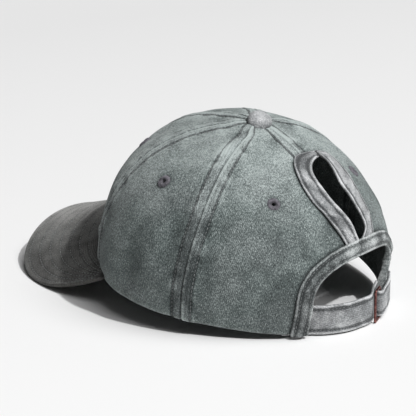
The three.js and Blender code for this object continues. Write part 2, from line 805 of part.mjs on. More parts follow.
// A closed wire along a rounded frame
function buckleGeometry() {
  const across = rightBar.clone().sub(leftBar);
  const width = across.length();
  const along = new THREE.Vector3(across.x / width, across.y / width, 0);
  const low = surfaceZ + buckleWire;
  const high = strapHigh + gap + buckleWire;
  const corners = [
    { along: 0, up: low, start: Math.PI },
    { along: width, up: low, start: 1.5 * Math.PI },
    { along: width, up: high, start: 0 },
    { along: 0, up: high, start: 0.5 * Math.PI },
  ];
  const centres = [];
  const steps = 3;
  for (const corner of corners) {
    for (let step = 0; step <= steps; step += 1) {
      const angle = corner.start + step / steps * Math.PI / 2;
      const inX = corner.along === 0 ? buckleCorner : width - buckleCorner;
      const inZ = corner.up === low ? low + buckleCorner : high - buckleCorner;
      centres.push({ x: inX + buckleCorner * Math.cos(angle), z: inZ + buckleCorner * Math.sin(angle), angle });
    }
  }
  const sides = 8;
  const positions = [];
  const faces = [];
  const facing = new THREE.Vector3(-along.y, along.x, 0);
  for (const centre of centres) {
    const middle = new THREE.Vector3(leftBar.x, leftBar.y, 0).addScaledVector(along, centre.x).setZ(centre.z);
    const radial = along.clone().multiplyScalar(Math.cos(centre.angle)).setZ(Math.sin(centre.angle));
    for (let side = 0; side < sides; side += 1) {
      const angle = side / sides * 2 * Math.PI;
      const point = middle.clone()
        .addScaledVector(radial, buckleWire * Math.cos(angle))
        .addScaledVector(facing, buckleWire * Math.sin(angle));
      positions.push(point.x, point.y, point.z);
    }
  }
  for (let ring = 0; ring < centres.length; ring += 1) {
    const next = (ring + 1) % centres.length;
    for (let side = 0; side < sides; side += 1) {
      const beside = (side + 1) % sides;
      const a = ring * sides + side;
      const b = ring * sides + beside;
      const c = next * sides + beside;
      const d = next * sides + side;
      faces.push(a, b, c, a, c, d);
    }
  }
  const geometry = new THREE.BufferGeometry();
  geometry.setAttribute('position', new THREE.Float32BufferAttribute(positions, 3));
  geometry.setIndex(faces);
  return geometryOf(solidOf(geometry));
}

// Finishes
const twill = { color: 0x7f8a86, roughness: 0.95, metalness: 0 };
const twillDark = { color: 0x6f7977, roughness: 0.95, metalness: 0 };
const tape = { color: 0x9a979b, roughness: 0.95, metalness: 0 };
const thread = { color: 0x66606b, roughness: 0.8, metalness: 0 };
const copper = { color: 0x8a4a44, roughness: 0.35, metalness: 0.9 };

const cap = new THREE.Group();

function addPiece(name, geometry, finish) {
  const piece = new THREE.Mesh(geometry, new THREE.MeshStandardMaterial(finish));
  piece.name = name;
  cap.add(piece);
}

const archCut = archCutter(archClearance);
const slitCut = slitCutter();

const panels = [
  { name: 'front', from: 0, to: frontSeamTurn, eyelet: eyeletTurns.front, cutters: [] },
  { name: 'side', from: frontSeamTurn, to: sideSeamTurn, eyelet: eyeletTurns.side, cutters: [] },
  { name: 'rear', from: sideSeamTurn, to: 180, eyelet: eyeletTurns.rear, cutters: [archCut, slitCut] },
];

for (const { name, from, to, eyelet, cutters } of panels) {
  const left = panel(from, to);
  const right = panel(360 - to, 360 - from);
  const leftSeams = [seamTrim(from, -1), seamTrim(to, 1)];
  const rightSeams = [seamTrim(360 - to, -1), seamTrim(360 - from, 1)];
  addPiece(`panel_${name}_left`, cut(left, eyeletCutter(eyelet), ...leftSeams, ...cutters), twill);
  addPiece(`panel_${name}_right`, cut(right, eyeletCutter(360 - eyelet), ...rightSeams, ...cutters), twill);
  for (const [side, turn] of [['left', eyelet], ['right', 360 - eyelet]]) {
    const ring = eyeletGeometry();
    ring.applyMatrix4(eyeletPose(turn));
    addPiece(`eyelet_${name}_${side}`, ring, thread);
  }
}

addPiece('button', buttonGeometry(), twillDark);
addPiece('peak', peakBody, twillDark);
addPiece('slit_binding_left', cut(slitBinding(1), archCut), tape);
addPiece('slit_binding_right', cut(slitBinding(-1), archCut), tape);
addPiece('arch_binding', archBinding(), tape);
addPiece('strap', strapGeometry(), tape);
addPiece('buckle_tab', tabGeometry(), tape);
addPiece('buckle', buckleGeometry(), copper);

// The origin is the middle of the cap's foot on the surface
const extent = new THREE.Box3().setFromObject(cap);
cap.position.set(-(extent.min.x + extent.max.x) / 2, -(extent.min.y + extent.max.y) / 2, -extent.min.z);
cap.updateMatrixWorld(true);

export default cap;
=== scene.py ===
"""Looks of a washed cotton ponytail cap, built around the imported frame."""
import math

import bpy
import numpy as np
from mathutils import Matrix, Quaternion, Vector


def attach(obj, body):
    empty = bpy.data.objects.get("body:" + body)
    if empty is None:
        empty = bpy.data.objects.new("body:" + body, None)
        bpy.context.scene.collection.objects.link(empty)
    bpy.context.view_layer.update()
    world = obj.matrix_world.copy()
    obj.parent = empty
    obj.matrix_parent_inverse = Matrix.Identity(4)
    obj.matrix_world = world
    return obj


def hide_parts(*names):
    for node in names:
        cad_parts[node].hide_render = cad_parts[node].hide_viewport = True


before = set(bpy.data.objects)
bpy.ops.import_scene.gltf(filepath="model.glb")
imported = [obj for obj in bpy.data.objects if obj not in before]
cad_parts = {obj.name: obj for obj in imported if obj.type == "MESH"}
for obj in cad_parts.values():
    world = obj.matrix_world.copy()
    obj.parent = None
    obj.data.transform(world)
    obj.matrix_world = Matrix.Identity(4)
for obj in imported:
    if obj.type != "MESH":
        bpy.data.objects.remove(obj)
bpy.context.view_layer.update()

# Sizes are in millimetres in the crown's own frame, and meshes are made in metres in the row's frame
MM = 0.001
FOOT_SHIFT = np.array([-0.0516, 17.2404, 0.3935])

# The crown's sizes, as in the frame
CLOTH = 1.6
CROWN_BACK = 106.5
CROWN_HEIGHT = 103.5
CROWN_HALF_WIDTH = 90.4
TOP_SET_BACK = 15.0
RIM_TILT = math.radians(7)
REAR_PLAN_POWER = 1.632
TOP_HOLE_RADIUS = 4.2
TOP_DRAW = 4.5
TOP_DRAW_START = 0.97
CROWN_SIDES = {
    "front": {"reach": 85.0, "rise": 4.41, "round": 2.08, "swell": -0.024},
    "back": {"reach": CROWN_BACK, "rise": 2.91, "round": 0.94, "swell": 0.014},
    "side": {"reach": CROWN_HALF_WIDTH, "rise": 2.2, "round": 2.04, "swell": 0.076},
}
FRONT_SEAM_TURN = 49.2
SIDE_SEAM_TURN = 110.0

# Dents of the soft cloth: turn, height share, half lengths across and along as shares of the crown's
# height, lean in degrees, depth as a share of the cloth's thickness
DENTS = [
    (140, 0.26, 0.06, 0.17, 35, 1.5),
    (151, 0.5, 0.05, 0.12, -20, 1.1),
    (118, 0.42, 0.07, 0.2, 5, 1.0),
    (101, 0.5, 0.07, 0.2, -5, 0.9),
    (164, 0.57, 0.05, 0.09, 60, 1.6),
    (82, 0.22, 0.08, 0.16, 15, 0.9),
    (221, 0.3, 0.07, 0.18, -30, 1.4),
    (262, 0.3, 0.08, 0.2, 10, 1.0),
    (206, 0.06, 0.17, 0.24, 0, 2.2),
    (24, 0.86, 0.12, 0.1, 80, 1.2),
]

# Peak
PEAK_LENGTH = 61.7
PEAK_THICKNESS = 3.0
PEAK_ARCH_RADIUS = 88.5
PEAK_SLOPE = 0.322
PEAK_END_TURN = 60.7
PEAK_SIDE_RUN = 62.6
PEAK_FRONT_RUN = 69.4
PEAK_FLARE = math.radians(9)
PEAK_TUCK = 3.0
PEAK_ROLL = 0.9
PEAK_END_MARGIN = 1.5
RIM_ROOM = 0.1

# Button and eyelets
BUTTON_RADIUS = 8.0
BUTTON_HEIGHT = 6.4
BUTTON_AROUND = 72
# The sewn button sits a little forward, and leans to the left and back
BUTTON_SET = np.array([1.0, -0.9, -1.5])
BUTTON_TILT = np.array([0.24, 0.18, 0])
EYELET_RADIUS = 4.3
EYELET_HOLE = 1.1
EYELET_HEIGHT = 0.72

# Arch and slit with their bindings
ARCH_HALF_WIDTH = 49.3
ARCH_TOP = 54.3
ARCH_STRAIGHT = 22.0
ARCH_POWER = 2.4
ARCH_FOOT_DRAW = 16.0
ARCH_DRAW_START = 1.4
ARCH_FOOT_DEPTH = 2
ARCH_STEPS = 15
ARCH_BEND_STEPS = 90
ARCH_BINDING_WIDTH = 8.3
ARCH_BAND_THICKNESS = 2.4
ARCH_OVERLAP = 0.4
ARCH_STATIONS = 210
ARCH_ROWS = (1.9, 6.9)
# Where the back seam's stitches start again, above the slit
SLIT_LENGTH = 57.0
# Inner and outer edge of the slit's left (1) and right (-1) band: across the back, and up it from the foot
SLIT_EDGES = {
    1: (
        np.array([(2.6, -1.6), (5.4, 6), (6.2, 15), (8.6, 25), (9.2, 35), (8.2, 44), (5.6, 50.5), (0.8, 55),
                  (-6, 57.2), (-14, 58.2)]),
        np.array([(13.4, -1.6), (14.9, 10.5), (16.4, 18.6), (18.6, 27), (19, 34), (17.2, 44), (13.6, 54),
                  (9.2, 61), (3.2, 65.4), (-5.6, 65), (-15, 62.4)]),
    ),
    -1: (
        np.array([(1.6, -1.6), (-4.6, 5), (-6.4, 10.6), (-7.1, 18.2), (-7.9, 27.6), (-8, 36), (-10.4, 42),
                  (-13.3, 49.1), (-16, 56), (-16.6, 60)]),
        np.array([(-12.8, -2.2), (-18.6, 10.4), (-21.5, 21), (-25, 31.6), (-26.6, 40.5), (-26, 48.1),
                  (-22.8, 56.3), (-17, 62.2)]),
    ),
}
SLIT_BAND_THICKNESS = 1.7
SLIT_OVERLAP = 0.6
SLIT_STATIONS = 90
# Each slit band's width, how far its free edge and its middle stand off the crown, and its noise
SLIT_BANDS = {
    1: {"label": "left", "width": 9.8, "lip": 3.4, "swell": 0.6, "seed": 61},
    -1: {"label": "right", "width": 14.0, "lip": 1.6, "swell": 1.0, "seed": 71},
}

# Strap, tab and buckle
STRAP_HEIGHT = 19.0
STRAP_LOW = 0.61
STRAP_THICKNESS = 1.8
STRAP_STAND = 0.98
STRAP_ROWS = (2.8, 16.2)
BUCKLE_WIRE = 0.8
BUCKLE_REACH = 9.0
BUCKLE_CORNER = 1.2
BUCKLE_CENTRE = -8.0
BUCKLE_ROOM = 0.3
TAB_END = -43.0
TAB_THICKNESS = 1.5
TAB_ROWS = (2.6, 14.4)
TAB_INSET = 1
# Place across the back and how far the strap's middle stands outside the rim there
STRAP_COURSE = np.array([
    (54, -5.46), (42.1, -5.18), (31.3, -1.4), (18.9, 0.84), (8.1, 1.12), (-1.6, 0.98), (-12, -3.36),
    (-24, -5.32),
])

# Camera: the photo's direction of view, its distance and its lens
VIEW_AZIMUTH = math.radians(128.792)
VIEW_ELEVATION = math.radians(19.069)
VIEW_DISTANCE = 1.2527
VIEW_TARGET = Vector((-0.00005, 0.01724, 0.0550))
PHOTO_SIZE = 416
FOCAL_PIXELS = 1953.707
PICTURE_CENTRE = (231.03, 204.07)
SENSOR = 36.0

# Light: each sun's azimuth and elevation in degrees, its strength, and its width in degrees.
# The hard one is behind the cap, and the soft one is wide and higher up.
SUNS = {
    "hard_light": (182.8, 51.6, 2.2, 2),
    "soft_light": (196, 65, 1.72, 48),
}
SKY_STRENGTH = 0.06
FLOOR_NEAR = 0.87
FLOOR_FAR = 0.72
FLOOR_HALF = 6.0
# How far the lowest points of the cap stay above the floor
FLOOR_ROOM = 0.02

# How closely points lie on the meshes, on the crown's meridians and in the noise
PANEL_COLUMN = 1.15
PANEL_ROW = 1.2
MERIDIAN_POINTS = 400
CURVE_POINTS = 200
TABLE_STEP = 2.0
NORMAL_STEP = 0.004
NORMAL_TOP = 0.985
NORMAL_SPREAD = 14
SOLVE_ROUNDS = 40
NOISE_SIDE = 32
# Further away than anything on the cap
FAR_OFF = 999.0


def smoothstep(value):
    share = np.clip(value, 0, 1)
    return share * share * (3 - 2 * share)


def bell(distance, width):
    return np.exp(-(distance / width) ** 2)


def unit(vectors):
    return vectors / np.linalg.norm(vectors, axis=-1, keepdims=True)


def paired(a, b):
    """Two arrays of numbers as places in a plane."""
    return np.stack(np.broadcast_arrays(a, b), -1)


def noise(points, wavelength, seed):
    """Seeded smooth noise between -1 and 1."""
    table = np.random.default_rng(seed).uniform(-1, 1, (NOISE_SIDE,) * points.shape[-1])
    place = points / wavelength
    cell = np.floor(place).astype(int)
    share = smoothstep(place - cell)
    total = np.zeros(points.shape[:-1])
    for corner in np.ndindex(*(2,) * points.shape[-1]):
        weight = np.prod(np.where(corner, share, 1 - share), axis=-1)
        index = tuple((cell[..., axis] + corner[axis]) % NOISE_SIDE for axis in range(points.shape[-1]))
        total += weight * table[index]
    return total


def row_noise(lengths, wavelength, seed):
    return noise(paired(lengths, 0.0), wavelength, seed)


# Lines of points
def lengths_along(points):
    steps = np.linalg.norm(np.diff(points, axis=0), axis=-1)
    return np.concatenate([[0], np.cumsum(steps)])


def read_off(places, own, line):
    """Points of a line at given lengths along it."""
    return np.stack([np.interp(places, own, column) for column in line.T], -1)


def resampled(points, count):
    """Points at even distances along a line."""
    own = lengths_along(points)
    return read_off(np.linspace(0, own[-1], count), own, points)


def respaced(points, spacing):
    return resampled(points, max(2, round(lengths_along(points)[-1] / spacing) + 1))


def circle(count, first, second):
    """Directions at even angles, from the first towards the second and on round."""
    angle = np.arange(count) / count * 2 * math.pi
    return np.cos(angle)[:, None] * first + np.sin(angle)[:, None] * second


# The crown's surface
def reach_at(side, height):
    narrowing = (1 - height ** side["rise"]) ** (1 / side["round"])
    return side["reach"] * narrowing * (1 + side["swell"] * np.sin(math.pi * height))


def smooth_crown(turn, height):
    share = np.clip(height, 0, 1)
    turn, share = np.broadcast_arrays(np.radians(turn), share)
    ahead = np.cos(turn)
    x = reach_at(CROWN_SIDES["side"], share) * np.sin(turn)
    front = -reach_at(CROWN_SIDES["front"], share) * ahead
    back = reach_at(CROWN_SIDES["back"], share) * np.maximum(-ahead, 0) ** (2 / REAR_PLAN_POWER)
    drawn = TOP_DRAW * smoothstep((share - TOP_DRAW_START) / (1 - TOP_DRAW_START))
    behind = np.where(ahead > 0, front, back) + TOP_SET_BACK * share * share - drawn - CROWN_BACK
    z = CROWN_HEIGHT * share
    return np.stack([
        x,
        CROWN_BACK + behind * math.cos(RIM_TILT) + z * math.sin(RIM_TILT),
        z * math.cos(RIM_TILT) - behind * math.sin(RIM_TILT),
    ], -1)


def crown_normal(turn, height):
    middle = np.clip(height, NORMAL_STEP, NORMAL_TOP)
    wide = 1 + NORMAL_SPREAD * middle ** 8  # the turns lie closer together towards the button
    across = smooth_crown(turn + wide, middle) - smooth_crown(turn - wide, middle)
    up = smooth_crown(turn, middle + NORMAL_STEP) - smooth_crown(turn, middle - NORMAL_STEP)
    return unit(np.cross(across, up))


def dent_depth(turn, height):
    full = np.mod(turn, 360)
    depth = np.zeros(np.broadcast(full, height).shape)
    for place, high, across, along, lean, deep in DENTS:
        sideways = np.radians(full - place) * CROWN_HALF_WIDTH
        upwards = (height - high) * CROWN_HEIGHT
        tilt = math.radians(lean)
        a = (sideways * math.cos(tilt) - upwards * math.sin(tilt)) / (across * CROWN_HEIGHT)
        b = (sideways * math.sin(tilt) + upwards * math.cos(tilt)) / (along * CROWN_HEIGHT)
        depth += deep * CLOTH * np.exp(-a * a - b * b)
    return depth


def crown_point(turn, height, lift):
    away = lift - dent_depth(turn, height)
    return smooth_crown(turn, height) + crown_normal(turn, height) * np.asarray(away)[..., None]


def turn_across(x, height):
    share = np.clip(x / reach_at(CROWN_SIDES["side"], height), -0.999, 0.999)
    return 180 - np.degrees(np.arcsin(share))


def solve(rising, shape, low, high):
    """Where a rising function is 0, for each place of an array of a given shape."""
    low, high = np.full(shape, low), np.full(shape, high)
    for _ in range(SOLVE_ROUNDS):
        middle = (low + high) / 2
        below = rising(middle) < 0
        low = np.where(below, middle, low)
        high = np.where(below, high, middle)
    return (low + high) / 2


def place_behind(x, z):
    """Turn and height of the crown's place seen at x and z from behind."""
    x, z = np.broadcast_arrays(np.asarray(x, float), np.asarray(z, float))
    height = solve(lambda share: smooth_crown(turn_across(x, share), share)[..., 2] - z,
                   x.shape, 0.0, 0.98)
    return turn_across(x, height), height


def meridian(turn):
    """Height shares and lengths up one meridian from the rim."""
    rest = 1 - np.linspace(0, 1, MERIDIAN_POINTS)
    shares = 1 - rest * rest
    points = smooth_crown(turn, shares)
    return shares, lengths_along(points)


BACK_SHARES, BACK_LENGTHS = meridian(180)
SLIT_FOOT = np.interp(ARCH_TOP, smooth_crown(180, BACK_SHARES)[:, 2], BACK_LENGTHS)


def place_up_back(points):
    """Turn and height of places given as a distance across and a length up the back seam."""
    height = np.interp(points[..., 1], BACK_LENGTHS, BACK_SHARES)
    return turn_across(points[..., 0], height), height


TABLE_TURNS = np.arange(0, 361, TABLE_STEP)
TABLE_LENGTHS = np.stack([meridian(turn)[1] for turn in TABLE_TURNS])


def arc_lengths(turn, height):
    """Lengths up the crown from the rim to a place, and on from there to the top."""
    column = np.mod(turn, 360) / TABLE_STEP
    row = (1 - np.sqrt(1 - np.clip(height, 0, 1))) * (MERIDIAN_POINTS - 1)
    left = np.minimum(column.astype(int), len(TABLE_TURNS) - 2)
    low = np.minimum(row.astype(int), MERIDIAN_POINTS - 2)
    across = column - left
    up = row - low

    def along(side):
        return TABLE_LENGTHS[side, low] * (1 - up) + TABLE_LENGTHS[side, low + 1] * up

    own = along(left) * (1 - across) + along(left + 1) * across
    total = TABLE_LENGTHS[left, -1] * (1 - across) + TABLE_LENGTHS[left + 1, -1] * across
    return own, total - own


def from_seam(seam, turn, height):
    """Distance round the crown from a seam, less than 0 on the side of the smaller turns."""
    away = np.mod(turn - seam + 180, 360) - 180
    chord = np.linalg.norm(smooth_crown(turn, height) - smooth_crown(seam, height), axis=-1)
    return np.sign(away) * chord


def turn_beside(seam, side, distance, height):
    away = solve(lambda angle: np.abs(from_seam(seam, seam + side * angle, height)) - distance,
                 height.shape, 0.0, 85.0)
    return seam + side * away


# The peak's surface
PEAK_END = smooth_crown(PEAK_END_TURN, 0.0)
RIM_FRONT_Y = smooth_crown(0.0, 0.0)[1]
PEAK_RIDGE = (PEAK_END[2] - PEAK_SLOPE * (PEAK_END[1] - RIM_FRONT_Y)
              + PEAK_END[0] ** 2 / (2 * PEAK_ARCH_RADIUS))


def peak_middle(x, y):
    return PEAK_RIDGE + PEAK_SLOPE * (y - RIM_FRONT_Y) - x * x / (2 * PEAK_ARCH_RADIUS)


def peak_normal(x):
    return unit(np.stack([x / PEAK_ARCH_RADIUS, np.full_like(x, -PEAK_SLOPE), np.ones_like(x)], -1))


def peak_point(x, y, lift):
    return np.stack([x, y, peak_middle(x, y)], -1) + peak_normal(x) * np.asarray(lift)[..., None]


def lower_edge(turn):
    """Height share of the crown's lower edge, which sits on the peak in front."""
    side = np.abs(np.mod(np.asarray(turn, float) + 180, 360) - 180)
    near = np.minimum(side, PEAK_END_TURN)

    def room(share):
        rooms = []
        for lift in (0, -CLOTH):
            point = crown_point(near, share, lift)
            upright = peak_normal(point[..., 0])[..., 2]
            under = peak_middle(point[..., 0], point[..., 1])
            rooms.append(point[..., 2] - under - PEAK_THICKNESS / 2 / upright)
        return np.minimum(*rooms) - RIM_ROOM

    on_peak = solve(room, near.shape, 0.0, 0.5)
    on_peak = np.where(room(np.zeros(near.shape)) > 0, 0, on_peak)
    return on_peak * (1 - np.clip((side - PEAK_END_TURN - PEAK_END_MARGIN) / PEAK_END_MARGIN, 0, 1))


# Meshes
def new_piece(name, points, faces, material, tone=None, tint=None, uv=None):
    """A mesh object from points in millimetres, with its wear and tint at each point."""
    flat = points.reshape(-1, 3)
    placed = (flat + FOOT_SHIFT) * MM
    # What rests on the floor is pressed flat
    placed[:, 2] = np.maximum(placed[:, 2], FLOOR_ROOM * MM)
    mesh = bpy.data.meshes.new(name)
    mesh.from_pydata(placed.tolist(), [], [tuple(face) for face in faces])
    for label, values in (("tone", tone), ("tint", tint)):
        layer = mesh.attributes.new(label, "FLOAT", "POINT")
        full = np.broadcast_to(0.0 if values is None else np.ravel(values), len(flat))
        layer.data.foreach_set("value", full.astype(np.float32))
    layer = mesh.uv_layers.new(name="cloth")
    corners = np.zeros(len(mesh.loops), int)
    mesh.loops.foreach_get("vertex_index", corners)
    spots = flat[:, :2] if uv is None else uv.reshape(-1, 2)
    layer.data.foreach_set("uv", (spots[corners] * MM).astype(np.float32).ravel())
    mesh.polygons.foreach_set("use_smooth", [True] * len(mesh.polygons))
    mesh.validate()
    mesh.update()
    piece = bpy.data.objects.new(name, mesh)
    bpy.context.scene.collection.objects.link(piece)
    mesh.materials.append(material)
    return piece


def dress(piece, slot, *nodes):
    """Seats a piece on the frame, in place of the nodes that it stands for."""
    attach(piece, "root")
    if nodes:
        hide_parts(*nodes)
    return piece


def grid_faces(rows, columns, closed=False):
    row = np.arange(rows - 1)[:, None]
    column = np.arange(columns if closed else columns - 1)[None, :]
    beside = (column + 1) % columns
    a = row * columns + column
    b = row * columns + beside
    return np.stack([a, b, b + columns, a + columns], -1).reshape(-1, 4)


def tube_piece(name, rings, material, closed=False, **layers):
    """A closed body from rings of points; its ends are capped unless the rings close on themselves."""
    count, around = rings.shape[:2]
    faces = grid_faces(count, around, closed=True).tolist()
    first = list(range(around))
    last = [(count - 1) * around + side for side in first]
    if closed:
        faces += [[last[side], last[side - around + 1], first[side - around + 1], side] for side in first]
    else:
        faces += [first[::-1], last]
    return new_piece(name, rings, faces, material, **layers)


# Materials
class Shader:
    """A material's node tree, with short calls for the nodes that the materials use."""

    def __init__(self, name):
        self.material = bpy.data.materials.new(name)
        self.material.use_nodes = True
        self.tree = self.material.node_tree

    def feed(self, node, sockets):
        """Sets numbers and colours on a node's sockets, and links other nodes' outputs to them."""
        for label, source in sockets.items():
            target = node.inputs[label]
            if isinstance(source, bpy.types.NodeSocket):
                self.tree.links.new(source, target)
            elif isinstance(source, tuple):
                target.default_value = (*source, 1)[:len(target.default_value)]
            else:
                target.default_value = source

    def node(self, kind, sockets=None, **settings):
        made = self.tree.nodes.new("ShaderNode" + kind)
        for key, value in settings.items():
            setattr(made, key, value)
        self.feed(made, sockets or {})
        return made

    def math(self, operation, a, b, clamp=False):
        return self.node("Math", {0: a, 1: b}, operation=operation, use_clamp=clamp).outputs[0]

    def mix(self, factor, a, b):
        return self.node("Mix", {0: factor, 6: a, 7: b}, data_type="RGBA").outputs[2]

    def spread(self, value, low, high, to_low=0.0, to_high=1.0):
        sockets = dict(enumerate((value, low, high, to_low, to_high)))
        return self.node("MapRange", sockets, clamp=True).outputs[0]

    def object_place(self):
        return self.node("TexCoord").outputs["Object"]

    def uv_place(self):
        return self.node("UVMap", uv_map="cloth").outputs[0]

    def attribute(self, name):
        return self.node("Attribute", attribute_name=name).outputs["Fac"]

    def noise(self, place, millimetres, detail=2.0, roughness=0.5, stretch=None):
        if stretch:
            place = self.node("Mapping", {0: place, "Scale": stretch}).outputs[0]
        sockets = {"Vector": place, "Scale": 1 / (millimetres * MM), "Detail": detail, "Roughness": roughness}
        return self.node("TexNoise", sockets).outputs[0]

    def twill(self, place, millimetres):
        turned = self.node("Mapping", {0: place, "Rotation": (0, 0, math.radians(18))}).outputs[0]
        sockets = {"Vector": turned, "Scale": 2 * math.pi / (20 * millimetres * MM), "Distortion": 1.6,
                   "Detail": 1.0, "Detail Scale": 1.5}
        return self.node("TexWave", sockets, wave_type="BANDS", bands_direction="DIAGONAL").outputs["Fac"]

    def bump(self, height, strength, millimetres):
        sockets = {"Strength": strength, "Distance": millimetres * MM, "Height": height}
        return self.node("Bump", sockets).outputs[0]

    def finished(self, sockets):
        self.feed(self.tree.nodes["Principled BSDF"], sockets)
        return self.material


# Sizes in the cloth's pattern: its diagonal lines, slubs, specks, worn patches and clouds of colour
TWILL_LINE = 0.85
SLUB = 0.75
SPECK = 0.8
PATCH = 9.0
CLOUD = 34.0


def cloth_material(name, base, light, dark, warm, mottle, grain):
    """Washed twill: diagonal weave, slubs, ridges painted lighter and hollows painted darker as painted light
    and shade, and patches of a warmer grey.
    """
    shader = Shader(name)
    place = shader.object_place()
    thread = shader.uv_place()
    twill = shader.twill(thread, TWILL_LINE)
    slub = shader.noise(thread, SLUB, 2.0, 0.6, stretch=(1.0, 0.45, 1.0))
    speck = shader.noise(place, SPECK, 2.0, 0.6)
    patch = shader.noise(place, PATCH, 3.0, 0.6)
    cloud = shader.noise(place, CLOUD, 2.0, 0.5)

    colour = shader.mix(shader.spread(cloud, 0.42, 0.64, 0.0, 0.45), base, warm)
    colour = shader.mix(shader.math("MULTIPLY", shader.attribute("tint"), 0.9, clamp=True), colour, warm)
    # The tone attribute holds the cloth's own tone together with painted light and shade
    tone_with_painted_light = shader.attribute("tone")
    for value, amount in ((patch, mottle), (speck, grain), (slub, grain * 0.7)):
        tone_with_painted_light = shader.math("ADD", tone_with_painted_light, shader.spread(value, 0.3, 0.7, -amount, amount))
    colour = shader.mix(shader.spread(tone_with_painted_light, 0.0, 1.6), colour, light)
    colour = shader.mix(shader.spread(tone_with_painted_light, 0.0, -1.3), colour, dark)
    colour = shader.mix(shader.spread(twill, 0.0, 1.0, 0.2, 0.0), colour, dark)
    height = shader.math("MULTIPLY", twill, 0.5)
    for value, share in ((slub, 0.8), (speck, 0.9)):
        height = shader.math("ADD", height, shader.math("MULTIPLY", value, share))
    return shader.finished({
        "Base Color": colour, "Roughness": shader.spread(speck, 0.3, 0.7, 0.82, 0.97),
        "Normal": shader.bump(height, 0.7, 0.28), "Specular IOR Level": 0.15,
        "Sheen Weight": 0.12, "Sheen Roughness": 0.6,
    })


def thread_material(name, base, light):
    """Twisted sewing thread."""
    shader = Shader(name)
    strand = shader.twill(shader.uv_place(), 0.5)
    speck = shader.noise(shader.object_place(), 2.0, 2.0)
    colour = shader.mix(shader.spread(speck, 0.35, 0.65), base, light)
    colour = shader.mix(shader.spread(strand, 0.0, 1.0, 0.0, 0.35), colour, light)
    return shader.finished({
        "Base Color": colour, "Roughness": shader.spread(speck, 0.3, 0.7, 0.5, 0.7),
        "Normal": shader.bump(strand, 0.5, 0.1), "Sheen Weight": 0.2,
    })


def metal_material(name, base, worn):
    """Copper plate, rubbed in patches."""
    shader = Shader(name)
    place = shader.object_place()
    rub = shader.noise(place, 3.0, 3.0, 0.6)
    scratch = shader.noise(place, 0.5, 2.0, 0.5, stretch=(1, 1, 0.1))
    return shader.finished({
        "Base Color": shader.mix(shader.spread(rub, 0.4, 0.65), base, worn),
        "Roughness": shader.spread(scratch, 0.3, 0.7, 0.25, 0.45),
        "Normal": shader.bump(scratch, 0.25, 0.05), "Metallic": 0.85,
    })


# Each cloth's colours, plain, light for fading and painted light, dark for dark tone and painted shade, and
# warm, and how strong its patches and its grain are
CROWN_CLOTH = cloth_material("crown_cloth", (0.122, 0.15, 0.146), (0.46, 0.515, 0.505),
                             (0.03, 0.038, 0.038), (0.138, 0.15, 0.152), 0.3, 0.85)
PEAK_CLOTH = cloth_material("peak_cloth", (0.125, 0.13, 0.124), (0.36, 0.355, 0.345),
                            (0.033, 0.032, 0.03), (0.14, 0.132, 0.128), 0.25, 0.6)
ARCH_CLOTH = cloth_material("arch_cloth", (0.19, 0.214, 0.212), (0.56, 0.585, 0.585),
                            (0.04, 0.045, 0.046), (0.19, 0.19, 0.195), 0.6, 0.8)
BAND_CLOTH = cloth_material("band_cloth", (0.275, 0.288, 0.294), (0.68, 0.69, 0.7),
                            (0.07, 0.074, 0.077), (0.3, 0.296, 0.305), 0.4, 0.6)
EYELET_THREAD = thread_material("eyelet_thread", (0.045, 0.043, 0.052), (0.16, 0.15, 0.175))
SEAM_THREAD = thread_material("seam_thread", (0.08, 0.088, 0.09), (0.2, 0.21, 0.21))
COPPER = metal_material("copper", (0.09, 0.032, 0.028), (0.3, 0.13, 0.115))


# Camera and light
def direction(azimuth, elevation):
    """Towards a place in the sky; azimuth 0 is in front of the cap."""
    flat = math.cos(elevation)
    return Vector((math.sin(azimuth) * flat, -math.cos(azimuth) * flat, math.sin(elevation)))


def set_camera():
    back = direction(VIEW_AZIMUTH, VIEW_ELEVATION)
    camera = bpy.data.objects.new("camera", bpy.data.cameras.new("camera"))
    camera.data.sensor_width = SENSOR
    camera.data.lens = SENSOR * FOCAL_PIXELS / PHOTO_SIZE
    camera.data.clip_end = 30
    camera.location = VIEW_TARGET + back * VIEW_DISTANCE
    # The camera aims so that the target falls where the photo has it, off the picture's middle
    right = math.atan((PICTURE_CENTRE[0] - PHOTO_SIZE / 2) / FOCAL_PIXELS)
    down = math.atan((PICTURE_CENTRE[1] - PHOTO_SIZE / 2) / FOCAL_PIXELS)
    facing = (-back).to_track_quat("-Z", "Y")
    aim = Quaternion((0, 1, 0), right) @ Quaternion((1, 0, 0), down)
    camera.rotation_mode = "QUATERNION"
    camera.rotation_quaternion = facing @ aim
    bpy.context.scene.collection.objects.link(camera)
    bpy.context.scene.camera = camera


def set_light():
    for name, (azimuth, elevation, strength, width) in SUNS.items():
        towards = direction(math.radians(azimuth), math.radians(elevation))
        sun = bpy.data.objects.new(name, bpy.data.lights.new(name, "SUN"))
        sun.data.energy = strength
        sun.data.angle = math.radians(width)
        sun.rotation_mode = "QUATERNION"
        sun.rotation_quaternion = towards.to_track_quat("Z", "Y")
        bpy.context.scene.collection.objects.link(sun)
    world = bpy.data.worlds.new("sky")
    world.use_nodes = True
    world.node_tree.nodes["Background"].inputs["Color"].default_value = (1, 1, 1, 1)
    world.node_tree.nodes["Background"].inputs["Strength"].default_value = SKY_STRENGTH
    bpy.context.scene.world = world
    bpy.context.scene.view_settings.view_transform = "Standard"


